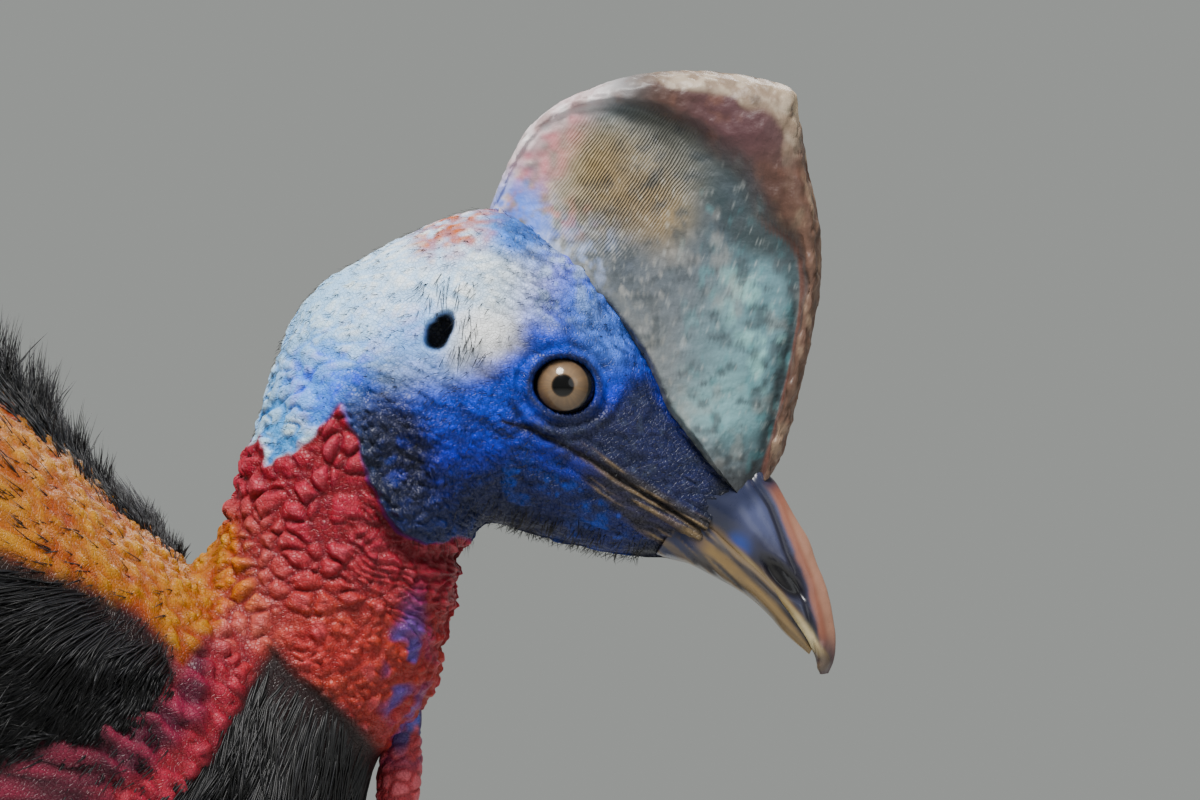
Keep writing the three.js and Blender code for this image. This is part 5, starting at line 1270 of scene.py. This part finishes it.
for side in (1, -1):
    name = "left" if side > 0 else "right"
    foot = np.array([-62 + leg["stagger"] * side, side * leg["apart"], 0.0])
    hock = np.array([foot[0] - 74, side * 90.0, 334.0])
    knee = np.array([foot[0] + 52, side * 82.0, 640.0])
    p = ovalLoft(hock + [0, 0, -12], knee, thighRows, *leg["thighGrid"])
    flat, n, _, _ = unrolled(p)
    raised, c = scales(flat, 9, 161)
    featherLine = smooth(flat[:, 2], 380, 410)
    flat = flat + n * (raised * 0.7 * (1 - featherLine) - 1.5)[:, None]
    c = painted(c, ("#0E0C0D", featherLine))
    thigh = gridPiece("thigh_skin_" + name, flat.reshape(p.shape), legSkin, c)
    standIn(thigh, "thigh_" + name, "thigh_" + name)

    lots = int(leg["thighTufts"] * share)
    s = rng.uniform(0.14, 0.98, lots)
    ang = rng.uniform(0, 2 * math.pi, lots)
    r = rowAt(thighRows, s * (len(thighRows) - 1))
    mid = (hock + [0, 0, -12]) * (1 - s[:, None]) + knee * s[:, None]
    out = np.stack([np.cos(ang), np.sin(ang), 0 * ang], 1)
    at = mid + out * r[:, [0, 1, 1]] * [1, 1, 0]
    way = np.stack([-0.45 + 0 * s, 0 * s, -1 + 0 * s], 1) + 0.12 * rng.normal(size=(lots, 3))
    length = rng.uniform(0.7, 1.1, lots) * (26 + 46 * s)
    blades("coat_thigh_" + name, at - out * 2, out, along(out, way), length,
        1.9 * rng.uniform(0.7, 1.2, lots), rng.uniform(2, 9, lots),
           0.02 * length, 0 * length, np.stack([s, ang / 6.3], 1),
           {"bend": 0.05 * rng.normal(size=lots), "tone": rng.uniform(0, 1, lots) ** 2}, feather)

    parts = [ovalLoft(foot + [-8, 0, 16], hock + [5, 0, 6], shankRows, *leg["shankGrid"])]
    a = np.linspace(0.02, math.pi - 0.02, leg["padGrid"][0])[:, None]
    b = roundTurns(leg["padGrid"][1])
    parts.append(np.stack([foot[0] - 2 + 34 * np.sin(a) * np.cos(b), foot[1] + 31 * np.sin(a)
        * np.sin(b), 18.2 + 18 * np.cos(a) + 0 * b], -1))
    for key, toe in toeKinds.items():
        turn = math.radians(toe["heading"] * -side)
        ahead = np.array([math.cos(turn), math.sin(turn), 0])
        across = np.array([-math.sin(turn), math.cos(turn), 0])
        start = foot + ahead * 10
        s = np.linspace(0, 1, leg["toeGrid"][0])[:, None]
        ang = roundTurns(leg["toeGrid"][1])
        shareWide, high = [v[:, None] for v in rowAt(toeRows, s.ravel() * (len(toeRows) - 1)).T]
        mid = start + ahead * ((toe["length"] + 17) * s)
        step = 0.9 * np.maximum(np.cos(ang), 0) * (0.5 + 0.5 * np.sin(s * 2 * math.pi * 9))
        q = mid[:, None] + across * (toe["wide"] * shareWide * np.sin(ang))[..., None]
        q[..., 2] = np.maximum(high - 0.4 + (high + step) * power(np.cos(ang), 0.85), 0.1)
        parts.append(q)
        tip = foot + ahead * (27 + toe["length"])
        s = np.linspace(0, 1, leg["clawGrid"][0])[:, None]
        ang = roundTurns(leg["clawGrid"][1])
        radius = toe["clawWide"] * (1 - s ** 1.5) + 0.5
        q = ((tip - ahead * 6 * (1 - s))[:, None] + (ahead * (toe["claw"] * s))[:, None] + across
            * (radius * 0.8 * np.sin(ang))[..., None])
        q[..., 2] = 10.6 + radius * np.cos(ang) + 2.5 * np.sin(math.pi * s) - toe["drop"] * 0.8 * s ** 2
        flat = q.reshape(-1, 3)
        c = painted(
            plain("#2B2624", len(flat)),
            ("#6B5E50", smooth(noise(flat * [0.2, 1, 1], 3, 171), 0.1, 0.7) * 0.5),
            ("#8C8070", np.repeat(smooth(s.ravel(), 0.75, 1.0), ang.size) * 0.5),
        )
        claw = gridPiece("claw_%s_%s_horn" % (key, name), q, clawHorn, c)
        standIn(claw, "claw_%s_%s" % (key, name), "claw_%s_%s" % (key, name))
    made = [gridPiece("part", q, legSkin) for q in parts]
    bpy.ops.object.select_all(action="DESELECT")
    for o in made:
        o.select_set(True)
    bpy.context.view_layer.objects.active = made[0]
    bpy.ops.object.join()
    joined = made[0]
    remesh = joined.modifiers.new("remesh", "REMESH")
    remesh.mode, remesh.voxel_size = "VOXEL", leg["voxel"]
    calm = joined.modifiers.new("calm", "SMOOTH")
    calm.factor, calm.iterations = 0.5, 3
    evaluated = joined.evaluated_get(bpy.context.evaluated_depsgraph_get())
    mesh = bpy.data.meshes.new_from_object(evaluated)
    v = np.empty(len(mesh.vertices) * 3)
    mesh.vertices.foreach_get("co", v)
    v = (v.reshape(-1, 3) - [shift, 0, 0]) * 1000
    outward = np.empty(len(mesh.vertices) * 3)
    mesh.vertices.foreach_get("normal", outward)
    outward = outward.reshape(-1, 3)
    mesh.calc_loop_triangles()
    tri = np.empty(len(mesh.loop_triangles) * 3, np.int32)
    mesh.loop_triangles.foreach_get("vertices", tri)
    bpy.data.objects.remove(joined)
    raised, c = scales(v, leg["scale"], 181)
    foreside = smooth(outward[:, 0], 0.2, 0.6) * smooth(v[:, 2], 50, 70)
    scute = 0.5 + 0.5 * np.sin(v[:, 2] * 2 * math.pi / leg["scute"])
    lift = raised * 0.7 * (1 - foreside) + foreside * (0.9 * smooth(scute, 0.05, 0.4)) - 0.6
    c = painted(c, ("#3B372F", foreside * (1 - smooth(scute, 0.05, 0.3))))
    v = v + outward * lift[:, None]
    v[:, 2] = np.maximum(v[:, 2], 0.05)
    piece = meshOf("leg_skin_" + name, v, tri.reshape(-1, 3), legSkin, c)
    standIn(piece, "shank_" + name, "shank_" + name, "foot_" + name,
        *["toe_%s_%s" % (key, name) for key in toeKinds])
print("legs done")


# Wings: a short stub and bare quills
wing = {"grid": (24, 18), "quills": 5, "length": 205, "root": 2.1, "tip": 0.5, "spread": 92}
for side in (1, -1):
    name = "left" if side > 0 else "right"
    rootAt = np.array([104.0, side * 122.0, 778.0])
    endAt = np.array([28.0, side * 186.0, 760.0])
    s = np.linspace(0, 1, wing["grid"][0])[:, None]
    ang = roundTurns(wing["grid"][1])
    mid = rootAt + (endAt - rootAt) * s
    mid[:, 1] += side * 14 * np.sin(math.pi * s[:, 0])
    radius = 13 - 5 * s
    stub = np.stack([mid[:, :1] + 0.3 * radius * np.cos(ang), mid[:, 1:2] + 0.75 * radius * np.sin(ang),
        mid[:, 2:3] + radius * np.cos(ang)], -1)
    q = stub.reshape(-1, 3)
    piece = gridPiece("wing_stub_" + name, stub, clawHorn, plain("#1A1716", len(q)))
    standIn(piece, "wing_" + name, "wing_" + name)
    for k in range(wing["quills"]):
        spread = k / (wing["quills"] - 1) - 0.5
        mid = endAt + np.hstack([10 - s * (wing["length"] + 30 * spread),
            side * (10 * np.sin(math.pi * s) + 14 * s + 1.6 * k * s), 10 * spread - s
            * (46 - wing["spread"] * spread) - 24 * s * s])
        radius = wing["root"] + (wing["tip"] - wing["root"]) * s
        quill = np.stack([mid[:, :1] + 0 * ang, mid[:, 1:2] + radius * np.sin(ang), mid[:, 2:3] + radius
            * np.cos(ang)], -1)
        q = quill.reshape(-1, 3)
        c = painted(plain("#0C0B0C", len(q)),
            ("#3A3028", np.repeat(1 - smooth(s.ravel(), 0.0, 0.2), ang.size) * 0.5))
        piece = gridPiece("wing_quill_%d_%s" % (k, name), quill, clawHorn, c)
        standIn(piece, "wing_" + name, "wing_" + name)
print("wings done")


# Floor, light and camera
camera = {"aim": (0.354 + shift, 0.0, 0.850), "distance": 3.0, "lens": 275.2, "height": 0.0}
light = {"key": 170, "fill": 12, "rim": 28, "sky": 0.45}
floorMaterial, tree, surface = newMaterial("studioFloor", 0.8)
connect(tree, mixColour(tree, grain(tree, 3.0, 2.0), (0.56, 0.57, 0.55, 1), (0.60, 0.60, 0.58, 1)),
    surface, "Base Color")
floor = meshOf("studio_floor", [[-9000, -9000, -1], [9000, -9000, -1], [9000, 9000, -1],
    [-9000, 9000, -1]], [[0, 1, 2, 3]], floorMaterial)
world = bpy.data.worlds.new("studio") if not bpy.context.scene.world else bpy.context.scene.world
bpy.context.scene.world = world
world.use_nodes = True
backdrop = world.node_tree.nodes["Background"]
backdrop.inputs[0].default_value = (0.72, 0.75, 0.72, 1)
backdrop.inputs[1].default_value = light["sky"]


def lamp(name, at, aim, size, watts, colour=(1, 1, 1)):
    data = bpy.data.lights.new(name, "AREA")
    data.shape, data.size, data.energy, data.color = "DISK", size, watts, colour
    made = bpy.data.objects.new(name, data)
    made.location = at
    d = np.asarray(aim) - np.asarray(at)
    heading = math.atan2(d[1], d[0]) - math.pi / 2
    made.rotation_euler = (math.atan2(math.hypot(d[0], d[1]), -d[2]), 0, heading)
    bpy.context.scene.collection.objects.link(made)


target = np.array(camera["aim"])
lamp("key", target + [-0.5, -1.3, 2.3], target, 1.1, light["key"], (1, 0.98, 0.95))
lamp("fill", target + [1.8, -1.9, 0.6], target, 1.8, light["fill"], (0.95, 0.98, 1))
lamp("rim", target + [0.6, 1.6, 1.5], target, 1.0, light["rim"])
data = bpy.data.cameras.new("camera")
data.sensor_width, data.lens = 36.0, camera["lens"]
view = bpy.data.objects.new("camera", data)
view.location = (camera["aim"][0], -camera["distance"], camera["aim"][2] + camera["height"])
view.rotation_euler = (math.pi / 2 - math.atan2(camera["height"], camera["distance"]), 0, 0)
bpy.context.scene.collection.objects.link(view)
bpy.context.scene.camera = view

print("scene done")
